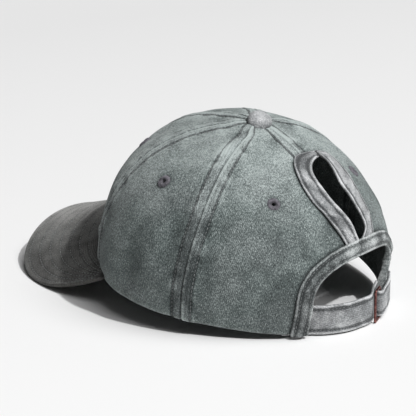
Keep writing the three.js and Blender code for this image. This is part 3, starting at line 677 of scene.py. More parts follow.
def set_floor():
    mesh = bpy.data.meshes.new("floor")
    corners = [(x * FLOOR_HALF, y * FLOOR_HALF, 0) for x, y in ((-1, -1), (1, -1), (1, 1), (-1, 1))]
    mesh.from_pydata(corners, [], [(0, 1, 2, 3)])
    floor = bpy.data.objects.new("floor", mesh)
    bpy.context.scene.collection.objects.link(floor)
    shader = Shader("floor_white")
    # Painted light: the floor is painted a little greyer away from the camera and to its left, as if less lit
    # there
    place = shader.node("SeparateXYZ", {0: shader.object_place()}).outputs
    left = shader.math("MULTIPLY", place["X"], -0.45)
    away = shader.math("ADD", left, shader.math("MULTIPLY", place["Y"], -1.0))
    white = shader.spread(away, -0.25, 0.75, FLOOR_NEAR, FLOOR_FAR)
    mesh.materials.append(shader.finished({"Base Color": white, "Roughness": 0.9, "Specular IOR Level": 0.1}))


set_camera()
set_light()
set_floor()


# Outlines of the arch and the slit
def arch_outline(grow):
    half_width = ARCH_HALF_WIDTH + grow
    rise = ARCH_TOP + grow - ARCH_STRAIGHT
    foot = np.linspace(-ARCH_FOOT_DEPTH, ARCH_STRAIGHT, ARCH_STEPS + 1)[:-1]
    angle = np.linspace(0, math.pi, ARCH_BEND_STEPS)
    across = half_width * np.abs(np.cos(angle)) ** (2 / ARCH_POWER) * np.sign(np.cos(angle))
    x = np.concatenate([np.full(ARCH_STEPS, half_width), across, np.full(ARCH_STEPS, -half_width)])
    z = np.concatenate([foot, ARCH_STRAIGHT + rise * np.sin(angle) ** (2 / ARCH_POWER), foot[::-1]])
    low = np.clip(1 - z / (ARCH_STRAIGHT * ARCH_DRAW_START), 0, 1)
    return np.stack([np.where(x < 0, x + ARCH_FOOT_DRAW * low, x), z], -1)


def curve_through(points, count):
    """A smooth curve through points, at even parameters."""
    padded = np.concatenate([[2 * points[0] - points[1]], points, [2 * points[-1] - points[-2]]])
    places = np.linspace(0, len(points) - 1 - 1e-9, count)
    start = places.astype(int)
    t = (places - start)[:, None]
    p0, p1, p2, p3 = (padded[start + step] for step in range(4))
    bend = (2 * p0 - 5 * p1 + 4 * p2 - p3) * t ** 2 + (3 * p1 - p0 - 3 * p2 + p3) * t ** 3
    return 0.5 * (2 * p1 + (p2 - p0) * t + bend)


def slit_stations(side):
    """Inner and outer edge of one slit binding, across the back and up it."""
    return [resampled(respaced(curve_through(points + [0, SLIT_FOOT], CURVE_POINTS), 0.4), SLIT_STATIONS)
            for points in SLIT_EDGES[side]]


def to_polyline(points, line):
    """Distance to a polyline and nearest point on it, and whether a point is inside the closed line."""
    start, end = line[:-1], line[1:]
    course = end - start
    size = np.maximum((course ** 2).sum(-1), 1e-12)
    best = np.full(len(points), FAR_OFF ** 2)
    nearest = np.zeros_like(points)
    for a, d, s in zip(start, course, size):
        t = np.clip(((points - a) @ d) / s, 0, 1)
        spot = a + t[:, None] * d
        distance = np.linalg.norm(points - spot, axis=1)
        closer = distance < best
        best[closer] = distance[closer]
        nearest[closer] = spot[closer]
    inside = np.zeros(len(points), bool)
    closed = np.concatenate([line, line[:1]])
    for (x1, y1), (x2, y2) in zip(closed[:-1], closed[1:]):
        if y1 == y2:
            continue
        crosses = (points[:, 1] > y1) != (points[:, 1] > y2)
        inside ^= crosses & (points[:, 0] < (x2 - x1) * (points[:, 1] - y1) / (y2 - y1) + x1)
    return best, nearest, inside


ARCH_LINE = arch_outline(0.0)
SLIT_LEFT = slit_stations(1)
SLIT_RIGHT = slit_stations(-1)
SLIT_LINE = np.concatenate([SLIT_LEFT[1], SLIT_RIGHT[1][::-1]])


# Panels
# Painted light on the crown: the height where it starts, the rise over which it grows, and how much lighter
# the top is
TOP_LIGHT_START = 52.0
TOP_LIGHT_RISE = 62.0
TOP_PAINTED_LIGHT = 0.85
SEAM_HALF = 6.1
# The seams' stitches start above the rim and end below the button
STITCHES_START = 1.2
STITCHES_END = 9.0
EYELET_ROOM = 1.4
SEAM_TURNS = [0, FRONT_SEAM_TURN, SIDE_SEAM_TURN, 180, 360 - SIDE_SEAM_TURN, 360 - FRONT_SEAM_TURN]
EYELET_TURNS = {
    "front": FRONT_SEAM_TURN / 2,
    "side": FRONT_SEAM_TURN + (SIDE_SEAM_TURN - FRONT_SEAM_TURN) * 0.46,
    "rear": SIDE_SEAM_TURN + (180 - SIDE_SEAM_TURN) * 0.475,
}


def seam_half(rest):
    """Distance of a seam's stitch rows from its middle, which shrinks towards the button."""
    return SEAM_HALF * (1 - 0.42 * bell(rest, 20.0))


def seam_relief(distance, length, rest, seed):
    """Height of the cloth beside a seam, its tone with painted light and shade, and how warm."""
    side = np.sign(distance)
    away = np.abs(distance)
    half = seam_half(rest)
    from_row = away - half
    course = length + 0.4 * from_row
    # The two sides of the seam read the noise at places far apart, so their puckers differ
    pucker = 0.6 * row_noise(course + 400 * (side > 0), 4.3, seed)
    pucker += 0.55 * row_noise(course + 300 * (side > 0), 8.5, seed + 1)
    pucker *= 0.25 + 0.75 * smoothstep(rest / 26)
    amount = bell(from_row, 3.3) + 0.35 * bell(away, 2.2)
    fine = 0.72 * pucker * amount
    fine += -0.6 * bell(from_row, 0.55) + 0.2 * bell(away - 1.3, 0.8) - 0.8 * bell(away, 0.55)
    lift = fine + 0.4 * smoothstep((half + 0.8 - away) / 1.2)
    dash = 0.5 + 0.5 * row_noise(length, 2.4, seed + 2)
    # Painted light and shade: lighter where the puckers rise, on one side of the seam and on the ridges
    # beside its rows; painted shade in the seam's valley and along its sewn rows
    tone = 1.3 * pucker * amount - (0.8 + 1.2 * dash) * bell(from_row, 0.85) - 0.7 * bell(away, 0.5)
    tone += (0.7 + 1.3 * dash) * bell(distance - 1.0, 0.8) + 0.3 * bell(away - 2.0, 1.2)
    tone += 0.35 * bell(from_row + 1.7, 0.8) + 0.25 * bell(from_row - 1.7, 0.8)
    # Beside the seam the cloth is darker towards the rim
    tone -= 0.45 * smoothstep((half + 2.5 - away) / 2.5) * (1 - smoothstep(length / 70))
    tint = 0.75 * smoothstep((half + 1.4 - away) / 1.5)
    return lift, tone, tint


def crown_relief(turn, height):
    """Relief of the washed cloth all over the crown, with its seams, and its tone with painted light and
    shade.
    """
    here = smooth_crown(turn, height)
    up, rest = arc_lengths(turn, height)
    lift = 0.55 * noise(here, 26.0, 3) + 0.22 * noise(here, 11.0, 4)
    # Painted light: the crown is painted lighter towards the top. The cloth has darker blotches, most of all
    # beside the seams
    tone = TOP_PAINTED_LIGHT * smoothstep((here[..., 2] - TOP_LIGHT_START) / TOP_LIGHT_RISE)
    tone += 0.2 * noise(here, 17.0, 5) + 0.12 * noise(here, 7.5, 6)
    low = 1 - smoothstep((here[..., 2] - 55) / 35)
    blotch = np.clip(noise(here * [1, 1, 0.6], 8.5, 8) - 0.12, 0, 1) * (0.25 + 0.75 * low)
    tint = np.zeros(turn.shape)
    for index, seam in enumerate(SEAM_TURNS):
        distance = from_seam(seam, turn, height)
        seam_lift, seam_tone, seam_tint = seam_relief(distance, up, rest, 11 + 7 * index)
        lift += seam_lift
        tone += seam_tone - 1.4 * blotch * bell(distance, 15.0)
        tint = np.maximum(tint, seam_tint)
    streak = noise(here * [1, 1, 0.45], 13.0, 9)
    # Painted shade darkens the dents
    tone += 0.32 * streak - 0.35 * dent_depth(turn, height) / CLOTH
    return lift * (0.15 + 0.85 * smoothstep((rest - 5) / 14)), tone, tint


def has_neighbour(mask):
    """Places of a grid that touch a place in the mask, across a corner too."""
    padded = np.pad(mask, 1)
    rows, columns = mask.shape
    return sum(padded[down:down + rows, right:right + columns] for down, right in np.ndindex(3, 3)) > 0


def panel_piece(name, start, end, eyelet):
    """One panel of the crown, cut out for the arch and the slit where it meets them."""
    shares, lengths = meridian((start + end) / 2)
    width = math.radians(end - start) * CROWN_HALF_WIDTH
    # Columns lie closer together beside the seams
    even = np.linspace(0, 1, int(width / PANEL_COLUMN))
    columns = start + (end - start) * (even - 0.055 * np.sin(2 * math.pi * even))
    rows = int(lengths[-1] / PANEL_ROW)
    turn = np.zeros((rows, len(columns)))
    height = np.zeros_like(turn)
    up = np.zeros_like(turn)
    low = lower_edge(columns)
    top = smooth_crown(0.0, 1.0)
    for index, column in enumerate(columns):
        own_shares, own_lengths = meridian(column)
        reach = np.linalg.norm((smooth_crown(column, own_shares) - top)[:, :2], axis=1)
        last = own_lengths[np.nonzero(reach > TOP_HOLE_RADIUS)[0][-1]]
        first = np.interp(low[index], own_shares, own_lengths)
        own = np.linspace(first, last, rows)
        turn[:, index] = column
        height[:, index] = np.interp(own, own_lengths, own_shares)
        up[:, index] = own
    keep = np.ones(turn.shape, bool)
    cut_distance = np.full(turn.shape, FAR_OFF)
    if end == 180 or start == 180:
        flat = smooth_crown(turn, height).reshape(-1, 3)
        along_back = paired(flat[:, 0], np.interp(height.ravel(), BACK_SHARES, BACK_LENGTHS))
        for spots, line, to_place in ((flat[:, [0, 2]], ARCH_LINE, lambda spot: place_behind(*spot.T)),
                                      (along_back, SLIT_LINE, place_up_back)):
            distance, nearest, inside = to_polyline(spots, line)
            inside = inside.reshape(turn.shape)
            # Points just inside the cut move onto its edge, and those further in are left out
            beside = has_neighbour(~inside)
            moved = (inside & beside).ravel()
            turn.reshape(-1)[moved], height.reshape(-1)[moved] = to_place(nearest[moved])
            keep &= ~inside | beside
            cut_distance = np.minimum(cut_distance, np.where(inside, 0, distance.reshape(turn.shape)))
        turn = np.clip(turn, min(start, end), max(start, end))
    here = smooth_crown(turn, height)
    lift, tone, tint = crown_relief(turn, height)
    # The cloth dips where the bindings are sewn on, and round the eyelet, and is painted darker in these dips
    # as painted shade
    lift -= 0.9 * bell(cut_distance, 1.5)
    tone -= 1.4 * bell(cut_distance, 1.6)
    spot = crown_point(eyelet, EYELET_HEIGHT, 0)
    from_eyelet = np.linalg.norm(here - spot, axis=-1)
    keep &= from_eyelet > EYELET_RADIUS - EYELET_ROOM
    lift -= 0.45 * bell(from_eyelet - EYELET_RADIUS, 1.2)
    tone -= 0.3 * bell(from_eyelet - EYELET_RADIUS, 1.4)
    # The rim is a rounded fold, painted paler along its edge as a painted highlight
    from_rim = up - up[0]
    lift -= 0.5 * bell(from_rim, 0.8)
    tone += 0.5 * bell(from_rim - 0.9, 1.0)
    outer = crown_point(turn, height, lift)
    inner = crown_point(turn, height, -CLOTH + 0.6 * lift + 0.3 * bell(from_rim, 0.8))
    count = turn.size
    faces = grid_faces(*turn.shape)
    kept = faces[keep.ravel()[faces].all(axis=1)]
    kept_inner = kept[:, ::-1] + count
    # Walls join the outer and the inner face along every open edge
    edges = np.concatenate([kept[:, [corner, (corner + 1) % 4]] for corner in range(4)])
    keys = {tuple(edge) for edge in edges.tolist()}
    walls = [(b, a, a + count, b + count) for a, b in keys if (b, a) not in keys]
    all_faces = np.concatenate([kept, kept_inner, np.array(walls)])
    points = np.concatenate([outer.reshape(-1, 3), inner.reshape(-1, 3)])
    used = np.unique(all_faces)
    renumber = np.zeros(len(points), int)
    renumber[used] = np.arange(len(used))
    across = np.cumsum(np.linalg.norm(np.diff(here, axis=1, prepend=here[:, :1]), axis=-1), axis=1)
    uv = paired(across - across[:, -1:] / 2, up).reshape(-1, 2)
    # The inner face is painted darker than the outer, as painted shade inside the crown
    layers = {
        "tone": np.concatenate([tone.ravel(), tone.ravel() - 0.5])[used],
        "tint": np.tile(tint.ravel(), 2)[used],
        "uv": np.tile(uv, (2, 1))[used],
    }
    return new_piece(name, points[used], renumber[all_faces].tolist(), CROWN_CLOTH, **layers)


for label, start, end in zip(EYELET_TURNS, SEAM_TURNS, SEAM_TURNS[1:]):
    eyelet = EYELET_TURNS[label]
    dress(panel_piece(f"crown_{label}_left", start, end, eyelet), "crown_twill", f"panel_{label}_left")
    dress(panel_piece(f"crown_{label}_right", 360 - end, 360 - start, 360 - eyelet),
          "crown_twill", f"panel_{label}_right")


# Bands and stitches
def band_section(width, thickness, spacing=0.6):
    """Round a flat band: distance from its first edge, and side from -1 under it to 1 on it."""
    radius = thickness / 2
    top = np.linspace(radius, width - radius, max(4, int((width - thickness) / spacing)))
    turn = np.linspace(0, math.pi, 8)[1:-1]
    bottom = np.linspace(width - radius, radius, 6)
    return np.concatenate([
        paired(top, 1.0), paired(width - radius + radius * np.sin(turn), np.cos(turn)),
        paired(bottom, -1.0), paired(radius - radius * np.sin(turn), -np.cos(turn)),
    ])


band_rows = []


def rows_on(rings, across, side, rows, outwards):
    """Lines for stitches along a band, on its outer face."""
    for row in rows:
        nearest = np.argmin(np.abs(across - row) + FAR_OFF * (side < 1))
        band_rows.append((rings[:, nearest] + 0.1 * outwards[:, nearest], outwards[:, nearest]))


def crown_band(name, outer, inner, width, thickness, middle_lift, detail, cloth, rows, fold=None):
    """A folded band on the crown between two lines of places; fold is how far it hangs inside."""
    across, side = band_section(width, thickness).T
    share = across / width
    turn = outer[0][:, None] * (1 - share) + inner[0][:, None] * share
    height = outer[1][:, None] * (1 - share) + inner[1][:, None] * share
    along = lengths_along(smooth_crown((outer[0] + inner[0]) / 2, (outer[1] + inner[1]) / 2))[:, None]
    extra, tone = detail(across[None, :], along)
    on_top = np.clip(side, 0, 1)
    inwards = fold(share[None, :], along) * np.clip(-side + 0.4, 0, 1) if fold else 0
    away = middle_lift(share[None, :], along / along[-1, 0]) + side * thickness / 2 + extra * on_top - inwards
    rings = crown_point(turn, height, away)
    rows_on(rings, across, side, rows, crown_normal(turn, height))
    # Painted shade darkens the band's underside, and painted light makes the fold that hangs inside lighter
    tone = tone * on_top - 0.6 * (1 - on_top) + 0.35 * inwards
    return tube_piece(name, rings, cloth, tone=tone, uv=paired(across[None, :], along))


def band_relief_and_painted_light(across, along, width, seed, rows, pucker_size=0.35):
    """Puckers, sewn rows and paler edges of a folded band, with painted light on the puckers and painted
    shade along the rows.
    """
    lean = along + 0.8 * across
    pucker = 0.6 * row_noise(lean, 4.0, seed) + 0.6 * row_noise(lean, 9.0, seed + 1)
    blotch = noise(paired(across, along), 4.5, seed + 2)
    near_row = sum(bell(across - row, 2.4) for row in rows)
    lift = pucker_size * pucker * (0.35 + near_row)
    # Painted light on the puckers, with blotches of the cloth's own tone
    tone = 0.9 * pucker * (0.3 + near_row) + 0.55 * blotch
    # Painted shade along the sewn rows
    for row in rows:
        lift = lift - 0.45 * bell(across - row, 0.6)
        tone = tone - 2.0 * bell(across - row, 0.9)
    edge = bell(across - 0.5, 0.8) + bell(across - width + 0.5, 0.8)
    return lift, tone + 0.24 + 1.3 * edge


def stitch_piece(name, rows, material, pitch=2.7, length=2.1, radius=0.3, sink=0.28):
    """Sewn stitches along lines: each row is points with the cloth's direction outwards at each."""
    sides = 6
    profile = np.array([(-0.5, 0.35), (-0.4, 0.8), (-0.15, 1), (0.15, 1), (0.4, 0.8), (0.5, 0.35)])
    stitches = []
    for line, outwards in rows:
        own = lengths_along(line)
        places = (np.arange(int(own[-1] / pitch)) + 0.5) * pitch
        here = read_off(places, own, line)
        out = unit(read_off(places, own, outwards))
        course = unit(read_off(places + 0.3, own, line) - read_off(places - 0.3, own, line))
        around = circle(sides, unit(np.cross(course, out))[:, None], out[:, None])
        rings = []
        for share, size in profile:
            centre = here + course * share * length - out * sink * (4 * share * share)
            rings.append(centre[:, None] + size * radius * around)
        stitches.append(np.stack(rings, 1))
    stitches = np.concatenate(stitches)
    size = len(profile) * sides
    one = grid_faces(len(profile), sides, closed=True).tolist()
    one += [list(range(sides))[::-1], list(range(size - sides, size))]
    faces = [[corner + index * size for corner in face] for index in range(len(stitches)) for face in one]
    uv = np.zeros((len(stitches), size, 2))
    uv[..., 1] = np.repeat(profile[:, 0] * length, sides)
    return new_piece(name, stitches, faces, material, uv=uv)


def crown_row(turn, height, rise=0.18):
    """A line over the relief of the crown, with the cloth's direction outwards."""
    lift, _, _ = crown_relief(turn, height)
    return crown_point(turn, height, lift + rise), crown_normal(turn, height)


# Rows of stitches beside the seams
seam_rows = []
for seam in SEAM_TURNS:
    shares, lengths = meridian(seam)
    for side in (-1, 1):
        foot = np.interp(lower_edge(float(seam)), shares, lengths)
        places = np.arange(foot + STITCHES_START, lengths[-1] - STITCHES_END, 0.8)
        height = np.interp(places, lengths, shares)
        _, rest = arc_lengths(np.full(height.shape, float(seam)), height)
        turn = turn_beside(seam, side, seam_half(rest), height)
        free = np.ones(height.shape, bool)
        if seam == 180:
            flat = smooth_crown(turn, height)
            up = np.interp(height, BACK_SHARES, BACK_LENGTHS)
            to_slit, _, in_slit = to_polyline(paired(flat[:, 0], up), SLIT_LINE)
            _, _, in_arch = to_polyline(flat[:, [0, 2]], ARCH_LINE)
            free = ~in_slit & ~in_arch & (up > SLIT_FOOT + SLIT_LENGTH) & (to_slit > 1)
        if free.sum() > 4:
            seam_rows.append(crown_row(turn[free], height[free]))
dress(stitch_piece("seam_stitches", seam_rows, SEAM_THREAD), None)


# Bindings of the arch and the slit
def arch_lift(share, along):
    """The band rides over the slit's feet, and its right leg is bunched up thick by the strap."""
    over_feet = 0.7 * bell(along - 0.5, 0.17)
    leg = smoothstep((along - 0.78) / 0.1)
    return 0.1 + over_feet + 0.9 * leg + 0.5 * np.sin(math.pi * np.clip(share, 0, 1))


def arch_binding():
    lines = [resampled(respaced(arch_outline(grow), 0.5), ARCH_STATIONS)
             for grow in (ARCH_OVERLAP, -ARCH_BINDING_WIDTH)]
    # The right leg is wider and its inner edge is lumpy
    own = lengths_along(lines[0])
    leg = smoothstep((own - 120) / 26)
    lines[1] += unit(lines[1] - lines[0]) * (leg * (3.4 + 1.6 * row_noise(own, 5.0, 48)))[:, None]
    outer, inner = (place_behind(*line.T) for line in lines)

    def detail(across, along):
        lift, tone = band_relief_and_painted_light(across, along, ARCH_BINDING_WIDTH, 41, ARCH_ROWS, 0.45)
        # The right leg is bunched up by the strap and frayed; its lumps are painted lighter, partly for the
        # frayed cloth and partly as painted light
        leg = smoothstep((along - 122) / 12)
        lump = noise(paired(across, along), 3.2, 47)
        return lift + 1.1 * leg * lump, tone + leg * (0.8 + 1.1 * lump)

    def fold(share, along):
        lump = row_noise(along + 3 * share, 4.2, 49) + 0.7 * row_noise(along, 9.0, 50)
        return smoothstep((along - 112) / 34) * share ** 1.5 * (5.5 + 2.2 * lump)

    width = ARCH_BINDING_WIDTH + ARCH_OVERLAP
    return crown_band("arch_band", outer, inner, width, ARCH_BAND_THICKNESS, arch_lift, detail, ARCH_CLOTH,
                      ARCH_ROWS, fold)


dress(arch_binding(), "binding_twill", "arch_binding")


def slit_band(side):
    inner, outer = slit_stations(side)
    own = SLIT_BANDS[side]
    width = own["width"]
    rows = (1.7, width - 1.9)
    outer = outer + unit(outer - inner) * SLIT_OVERLAP

    def lift(share, along):
        # The free edge stands off the crown, and both ends of the band lie down flat
        free = smoothstep(along / 0.16) * smoothstep((1 - along) / 0.12)
        return -0.15 + own["swell"] * free + own["lip"] * share ** 1.2 * (0.12 + 0.88 * free)

    def detail(across, along):
        return band_relief_and_painted_light(across, along, width, own["seed"], rows, 0.4)

    return crown_band(f"slit_band_{own['label']}", place_up_back(outer), place_up_back(inner),
                      width + SLIT_OVERLAP, SLIT_BAND_THICKNESS, lift, detail, BAND_CLOTH, rows)


dress(slit_band(1), "binding_twill", "slit_binding_left")
dress(slit_band(-1), "binding_twill", "slit_binding_right")


# Strap and tab
STRAP_MIDDLE = STRAP_LOW + STRAP_HEIGHT / 2
STRAP_TOP = STRAP_LOW + STRAP_HEIGHT


def strap_place(x, stand):
    turn, height = place_behind(x, STRAP_MIDDLE)
    outwards = crown_normal(turn, height) * np.array([1, 1, 0])
    return (smooth_crown(turn, height) + unit(outwards) * np.asarray(stand)[..., None])[..., :2]


def upright_band(name, line, low, high, thickness, seed, rows):
    """A band on edge that follows a line in plan."""
    width = high - low
    across, side = band_section(width, thickness).T
    course = unit(np.gradient(line, axis=0))
    outwards = np.stack([course[:, 1], -course[:, 0], np.zeros(len(course))], -1)
    along = lengths_along(line)[:, None]
    extra, tone = band_relief_and_painted_light(across[None, :], along, width, seed, rows, 0.3)
    on_top = np.clip(side, 0, 1)
    base = np.concatenate([line, np.full((len(line), 1), low)], -1)
    away = side * thickness / 2 + extra * on_top
    rings = base[:, None] + outwards[:, None] * away[..., None]
    rings[..., 2] += across
    rows_on(rings, across, side, rows, np.broadcast_to(outwards[:, None], rings.shape))
    # Painted shade darkens the band's side towards the crown
    tone = tone * on_top - 0.4 * (1 - on_top)
    return tube_piece(name, rings, BAND_CLOTH, tone=tone, uv=paired(across[None, :], along))


strap_line = respaced(curve_through(strap_place(*STRAP_COURSE.T), CURVE_POINTS), 0.9)
strap = upright_band("strap_band", strap_line, STRAP_LOW, STRAP_TOP, STRAP_THICKNESS, 81, STRAP_ROWS)
dress(strap, "binding_twill", "strap")

OVER_STRAP = STRAP_STAND + STRAP_THICKNESS / 2 + BUCKLE_ROOM + BUCKLE_WIRE
TAB_STAND = STRAP_THICKNESS / 2
left_bar = strap_place(BUCKLE_CENTRE + BUCKLE_REACH / 2, OVER_STRAP)
right_bar = strap_place(BUCKLE_CENTRE - BUCKLE_REACH / 2, TAB_STAND)


def tab_line():
    """The tab's end turns round the buckle's right bar."""
    along = unit(left_bar - right_bar)
    out = np.array([-along[1], along[0]])
    out = out if out[1] > 0 else -out
    radius = BUCKLE_WIRE + 1.0
    angle = np.linspace(-math.pi / 2, math.pi / 2, 12)
    loop = right_bar + radius * (np.cos(angle)[:, None] * along + np.sin(angle)[:, None] * out)
    start = right_bar - out * radius - along * 2.4
    x = right_bar[0] + (TAB_END - right_bar[0]) * np.array([0.25, 0.5, 0.75, 1])
    run = strap_place(x, TAB_STAND + np.array([0.7, 0.4, 0.2, 0]))
    run = curve_through(np.concatenate([loop[-1:], run]), 60)
    return respaced(np.concatenate([[start], loop, run[1:]]), 0.7)


tab = upright_band("tab_band", tab_line(), STRAP_LOW + TAB_INSET, STRAP_TOP - TAB_INSET,
                   TAB_THICKNESS, 91, TAB_ROWS)
dress(tab, "binding_twill", "buckle_tab")
dress(stitch_piece("band_stitches", band_rows, SEAM_THREAD, pitch=2.5, length=1.9, radius=0.22), None)


def wire_ring():
    """The buckle's closed wire frame."""
    along = unit(right_bar - left_bar)
    width = np.linalg.norm(right_bar - left_bar)
    low = BUCKLE_WIRE - FOOT_SHIFT[2]
    high = STRAP_TOP + BUCKLE_ROOM + BUCKLE_WIRE
    facing = np.array([-along[1], along[0], 0])
    rings = []
    for in_x, in_z, start in ((0, low, 1), (width, low, 1.5), (width, high, 0), (0, high, 0.5)):
        centre = np.array([*left_bar + along * (in_x + (BUCKLE_CORNER if in_x == 0 else -BUCKLE_CORNER)),
                           in_z + (BUCKLE_CORNER if in_z == low else -BUCKLE_CORNER)])
        for angle in (start + np.linspace(0, 0.5, 8)) * math.pi:
            radial = np.array([*along * math.cos(angle), math.sin(angle)])
            rings.append(centre + radial * BUCKLE_CORNER + BUCKLE_WIRE * circle(16, radial, facing))
    return np.array(rings)


dress(tube_piece("buckle_wire", wire_ring(), COPPER, closed=True), "buckle_metal", "buckle")


# Peak
PEAK_CURVE_STEPS = 400
PEAK_EDGE_STEP = 1.3


def peak_edge():
    start = PEAK_END[:2]
    tip = np.array([0, RIM_FRONT_Y - PEAK_LENGTH])
    side = start + np.array([math.sin(PEAK_FLARE), -math.cos(PEAK_FLARE)]) * PEAK_SIDE_RUN
    front = tip + np.array([PEAK_FRONT_RUN, 0])
    t = np.linspace(0, 1, PEAK_CURVE_STEPS)[:, None]
    half = (1 - t) ** 3 * start + 3 * (1 - t) ** 2 * t * side + 3 * (1 - t) * t * t * front + t ** 3 * tip
    return respaced(np.concatenate([half * [-1, 1], half[::-1][1:]]), PEAK_EDGE_STEP)


PEAK_ROWS = (0.055, 0.175, 0.295, 0.415, 0.535, 0.655, 0.775)
edge_line = peak_edge()
edge_turn = np.linspace(-PEAK_END_TURN, PEAK_END_TURN, len(edge_line))
root_line = crown_point(edge_turn, lower_edge(edge_turn), -CLOTH - PEAK_TUCK)[:, :2]
edge_reach = np.linalg.norm(root_line - edge_line, axis=1)
edge_along = lengths_along(edge_line)


def peak_relief(share, along, reach):
    """Sewn rows parallel to the peak's edge, and cloth that puffs up between them, with painted shade along
    the rows, painted light on the puffs and a painted highlight along the rolled edge.
    """
    lift = np.zeros(np.broadcast(share, along).shape)
    from_edge = share * reach
    tone = 0.3 * noise(paired(from_edge, along), 9.0, 21)
    for index, row in enumerate(PEAK_ROWS):
        away = (share - row) * reach
        pucker = row_noise(along + 70 * index, 4.0, 22 + index)
        lift = lift - 0.3 * bell(away, 0.7) + 0.12 * pucker * bell(away, 1.8)
        tone = tone - 0.45 * bell(away, 0.8) + 0.35 * pucker * bell(away, 1.6)
    lift = lift + 0.35 * bell(from_edge - 1.2, 1.4)
    # Painted highlight along the rolled edge
    tone = tone + 0.45 * bell(from_edge - 0.6, 1.3)
    return lift, tone


def peak_painted_light(x, from_edge):
    """Painted light and shade: the peak is painted lighter to the right, and darker beside the crown and at
    the left, as in the crown's shadow.
    """
    right = 1.35 * smoothstep((52 - x) / 52)
    return right - 0.75 * smoothstep((from_edge - 20) / 26) - 0.6 * smoothstep((x - 42) / 20)


def peak_piece():
    reach = edge_reach[:, None]
    along = edge_along[:, None]
    share = np.linspace(0, 1, 74)[None, :] ** 1.15
    under = np.linspace(1, 0, 40)[None, :] ** 1.15
    outwards = unit(edge_line - root_line)

    def face(shares, sign):
        lift, tone = peak_relief(shares, along, reach)
        flat = edge_line[:, None] * (1 - shares[..., None]) + root_line[:, None] * shares[..., None]
        points = peak_point(flat[..., 0], flat[..., 1], sign * (PEAK_THICKNESS / 2 + lift))
        tone = tone + peak_painted_light(flat[..., 0], shares * reach)
        return points, tone, np.broadcast_to(shares * reach, tone.shape)

    roll = []
    for turn in np.linspace(0, math.pi, 8)[1:-1]:
        flat = edge_line + outwards * PEAK_ROLL * math.sin(turn)
        roll.append(peak_point(*flat.T, np.full(len(flat), (PEAK_THICKNESS / 2 + 0.25) * math.cos(turn))))
    roll_tone = np.repeat(0.1 + peak_painted_light(edge_line[:, :1], 0), len(roll), 1)
    # From the root over the top to the edge, round it, and back underneath
    edge = (np.stack(roll, 1), roll_tone, np.zeros_like(roll_tone))
    rings, tone, inwards = (np.concatenate([over[:, ::-1], middle, below[:, ::-1]], 1)
                            for over, middle, below in zip(face(share, 1), edge, face(under, -1)))
    return tube_piece("peak_cloth", rings, PEAK_CLOTH, tone=tone, uv=paired(inwards, along))


dress(peak_piece(), "peak_twill", "peak")


def peak_stitches():
    rows = []
    for sign in (1, -1):
        for row in PEAK_ROWS:
            flat = edge_line * (1 - row) + root_line * row
            lift, _ = peak_relief(np.full(len(flat), row), edge_along, edge_reach)
            own = slice(4, -4)
            points = peak_point(*flat[own].T, sign * (PEAK_THICKNESS / 2 + lift[own] + 0.12))
            rows.append((points, peak_normal(flat[own, 0]) * sign))
    return stitch_piece("peak_stitches", rows, SEAM_THREAD, pitch=3.0, length=2.3, radius=0.24)


dress(peak_stitches(), None)


# Button
def button_seat():
    """Where the button's foot lies and which way it faces, above the cloth under it."""
    top = smooth_crown(0.0, 1.0)
    turn = np.arange(0, 360, 15.0)
    under = []
    for radius in (BUTTON_RADIUS, 5.0):
        def inside(share):
            return radius - np.linalg.norm((smooth_crown(turn, share) - top)[:, :2], axis=1)

        height = solve(inside, turn.shape, 0.5, 1.0)
        under.append(crown_point(turn, height, 0))
    under = np.concatenate(under)
    front, back = under[0], under[12]
    lean = math.atan2(front[2] - back[2], back[1] - front[1])
    axis = np.array([0, math.sin(lean), math.cos(lean)])
    foot = top + axis * (max((under - top) @ axis) + 0.3) + BUTTON_SET
    return foot, unit(axis + BUTTON_TILT)


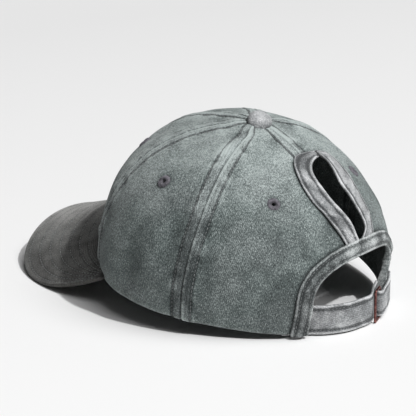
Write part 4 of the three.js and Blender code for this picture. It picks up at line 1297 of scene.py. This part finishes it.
def button_piece():
    foot, axis = button_seat()
    ahead = unit(np.cross(axis, [1.0, 0, 0]))
    beside = np.cross(ahead, axis)
    profile = [(0.02, 0.0), (0.5, 0.0), (0.76, 0.0), (0.86, -0.06), (0.95, -0.04), (1.0, 0.1), (1.0, 0.26)]
    dome = np.linspace(0.15, math.pi / 2 - 0.02, 18)
    profile += [(math.cos(a) ** 0.75, 0.3 + 0.7 * math.sin(a)) for a in dome]
    profile = np.array(profile)
    rings = foot + BUTTON_RADIUS * profile[:, :1, None] * circle(BUTTON_AROUND, beside, ahead)
    rings = rings + BUTTON_HEIGHT * profile[:, 1:, None] * axis
    angle = np.arange(BUTTON_AROUND) / BUTTON_AROUND * 2 * math.pi
    rim = bell(profile[:, 1] - 0.3, 0.3)[:, None]
    gather = row_noise(np.tile(angle * BUTTON_RADIUS, (len(profile), 1)), 2.2, 51)
    lump = noise(rings, 4.5, 52)
    outwards = unit(rings - (foot + axis * BUTTON_HEIGHT * 0.3))
    rings = rings + outwards * (0.3 * gather * rim + 0.3 * lump)[..., None]
    # Painted light: the gathers and lumps are lighter where they rise, and the dome is lighter towards its
    # top
    tone = 0.5 * gather * rim + 0.5 * lump + 0.5 * smoothstep(profile[:, 1:] * 1.4 - 0.5)
    # Painted shade: the cloth low on the rim is painted dark
    tone = tone - 0.05 - 2.2 * bell(profile[:, 1:] - 0.05, 0.14)
    return tube_piece("button_dome", rings, BAND_CLOTH, tone=tone, uv=paired(rings @ beside, rings @ ahead))


dress(button_piece(), "peak_twill", "button")


# Eyelets
EYELET_AROUND = 176
EYELET_THREADS = 44


def eyelet_piece(name, turn, seed):
    """A ring of satin stitches that lie radially."""
    middle = crown_point(turn, EYELET_HEIGHT, -CLOTH / 2)
    axis = crown_normal(turn, EYELET_HEIGHT)
    beside = unit(np.cross([0, 0, 1.0], axis))
    ahead = np.cross(axis, beside)
    angle = np.arange(EYELET_AROUND) / EYELET_AROUND * 2 * math.pi
    ridge = np.abs(np.cos(angle * EYELET_THREADS / 2)) ** 0.6 - 0.5
    wobble = row_noise(angle * 12, 1.0, seed)
    half = (EYELET_RADIUS - EYELET_HOLE) / 2
    centre = (EYELET_RADIUS + EYELET_HOLE) / 2
    outwards = circle(EYELET_AROUND, beside, ahead)
    rings = []
    for section in np.linspace(0, 2 * math.pi, 18)[:-1]:
        radius = centre + half * math.cos(section) * (1 + 0.06 * wobble)
        rise = 1.35 * math.sin(section) * (1 + 0.16 * ridge + 0.1 * wobble)
        rings.append(middle + radius[:, None] * outwards + rise[:, None] * axis)
    tone = np.tile(ridge, (len(rings), 1))
    return tube_piece(name, np.array(rings)[::-1], EYELET_THREAD, closed=True, tone=tone)


for label, eyelet in EYELET_TURNS.items():
    for side, turn in (("left", eyelet), ("right", 360 - eyelet)):
        piece = eyelet_piece(f"sewn_{label}_{side}", turn, 101 + int(turn))
        dress(piece, "eyelet_thread", f"eyelet_{label}_{side}")
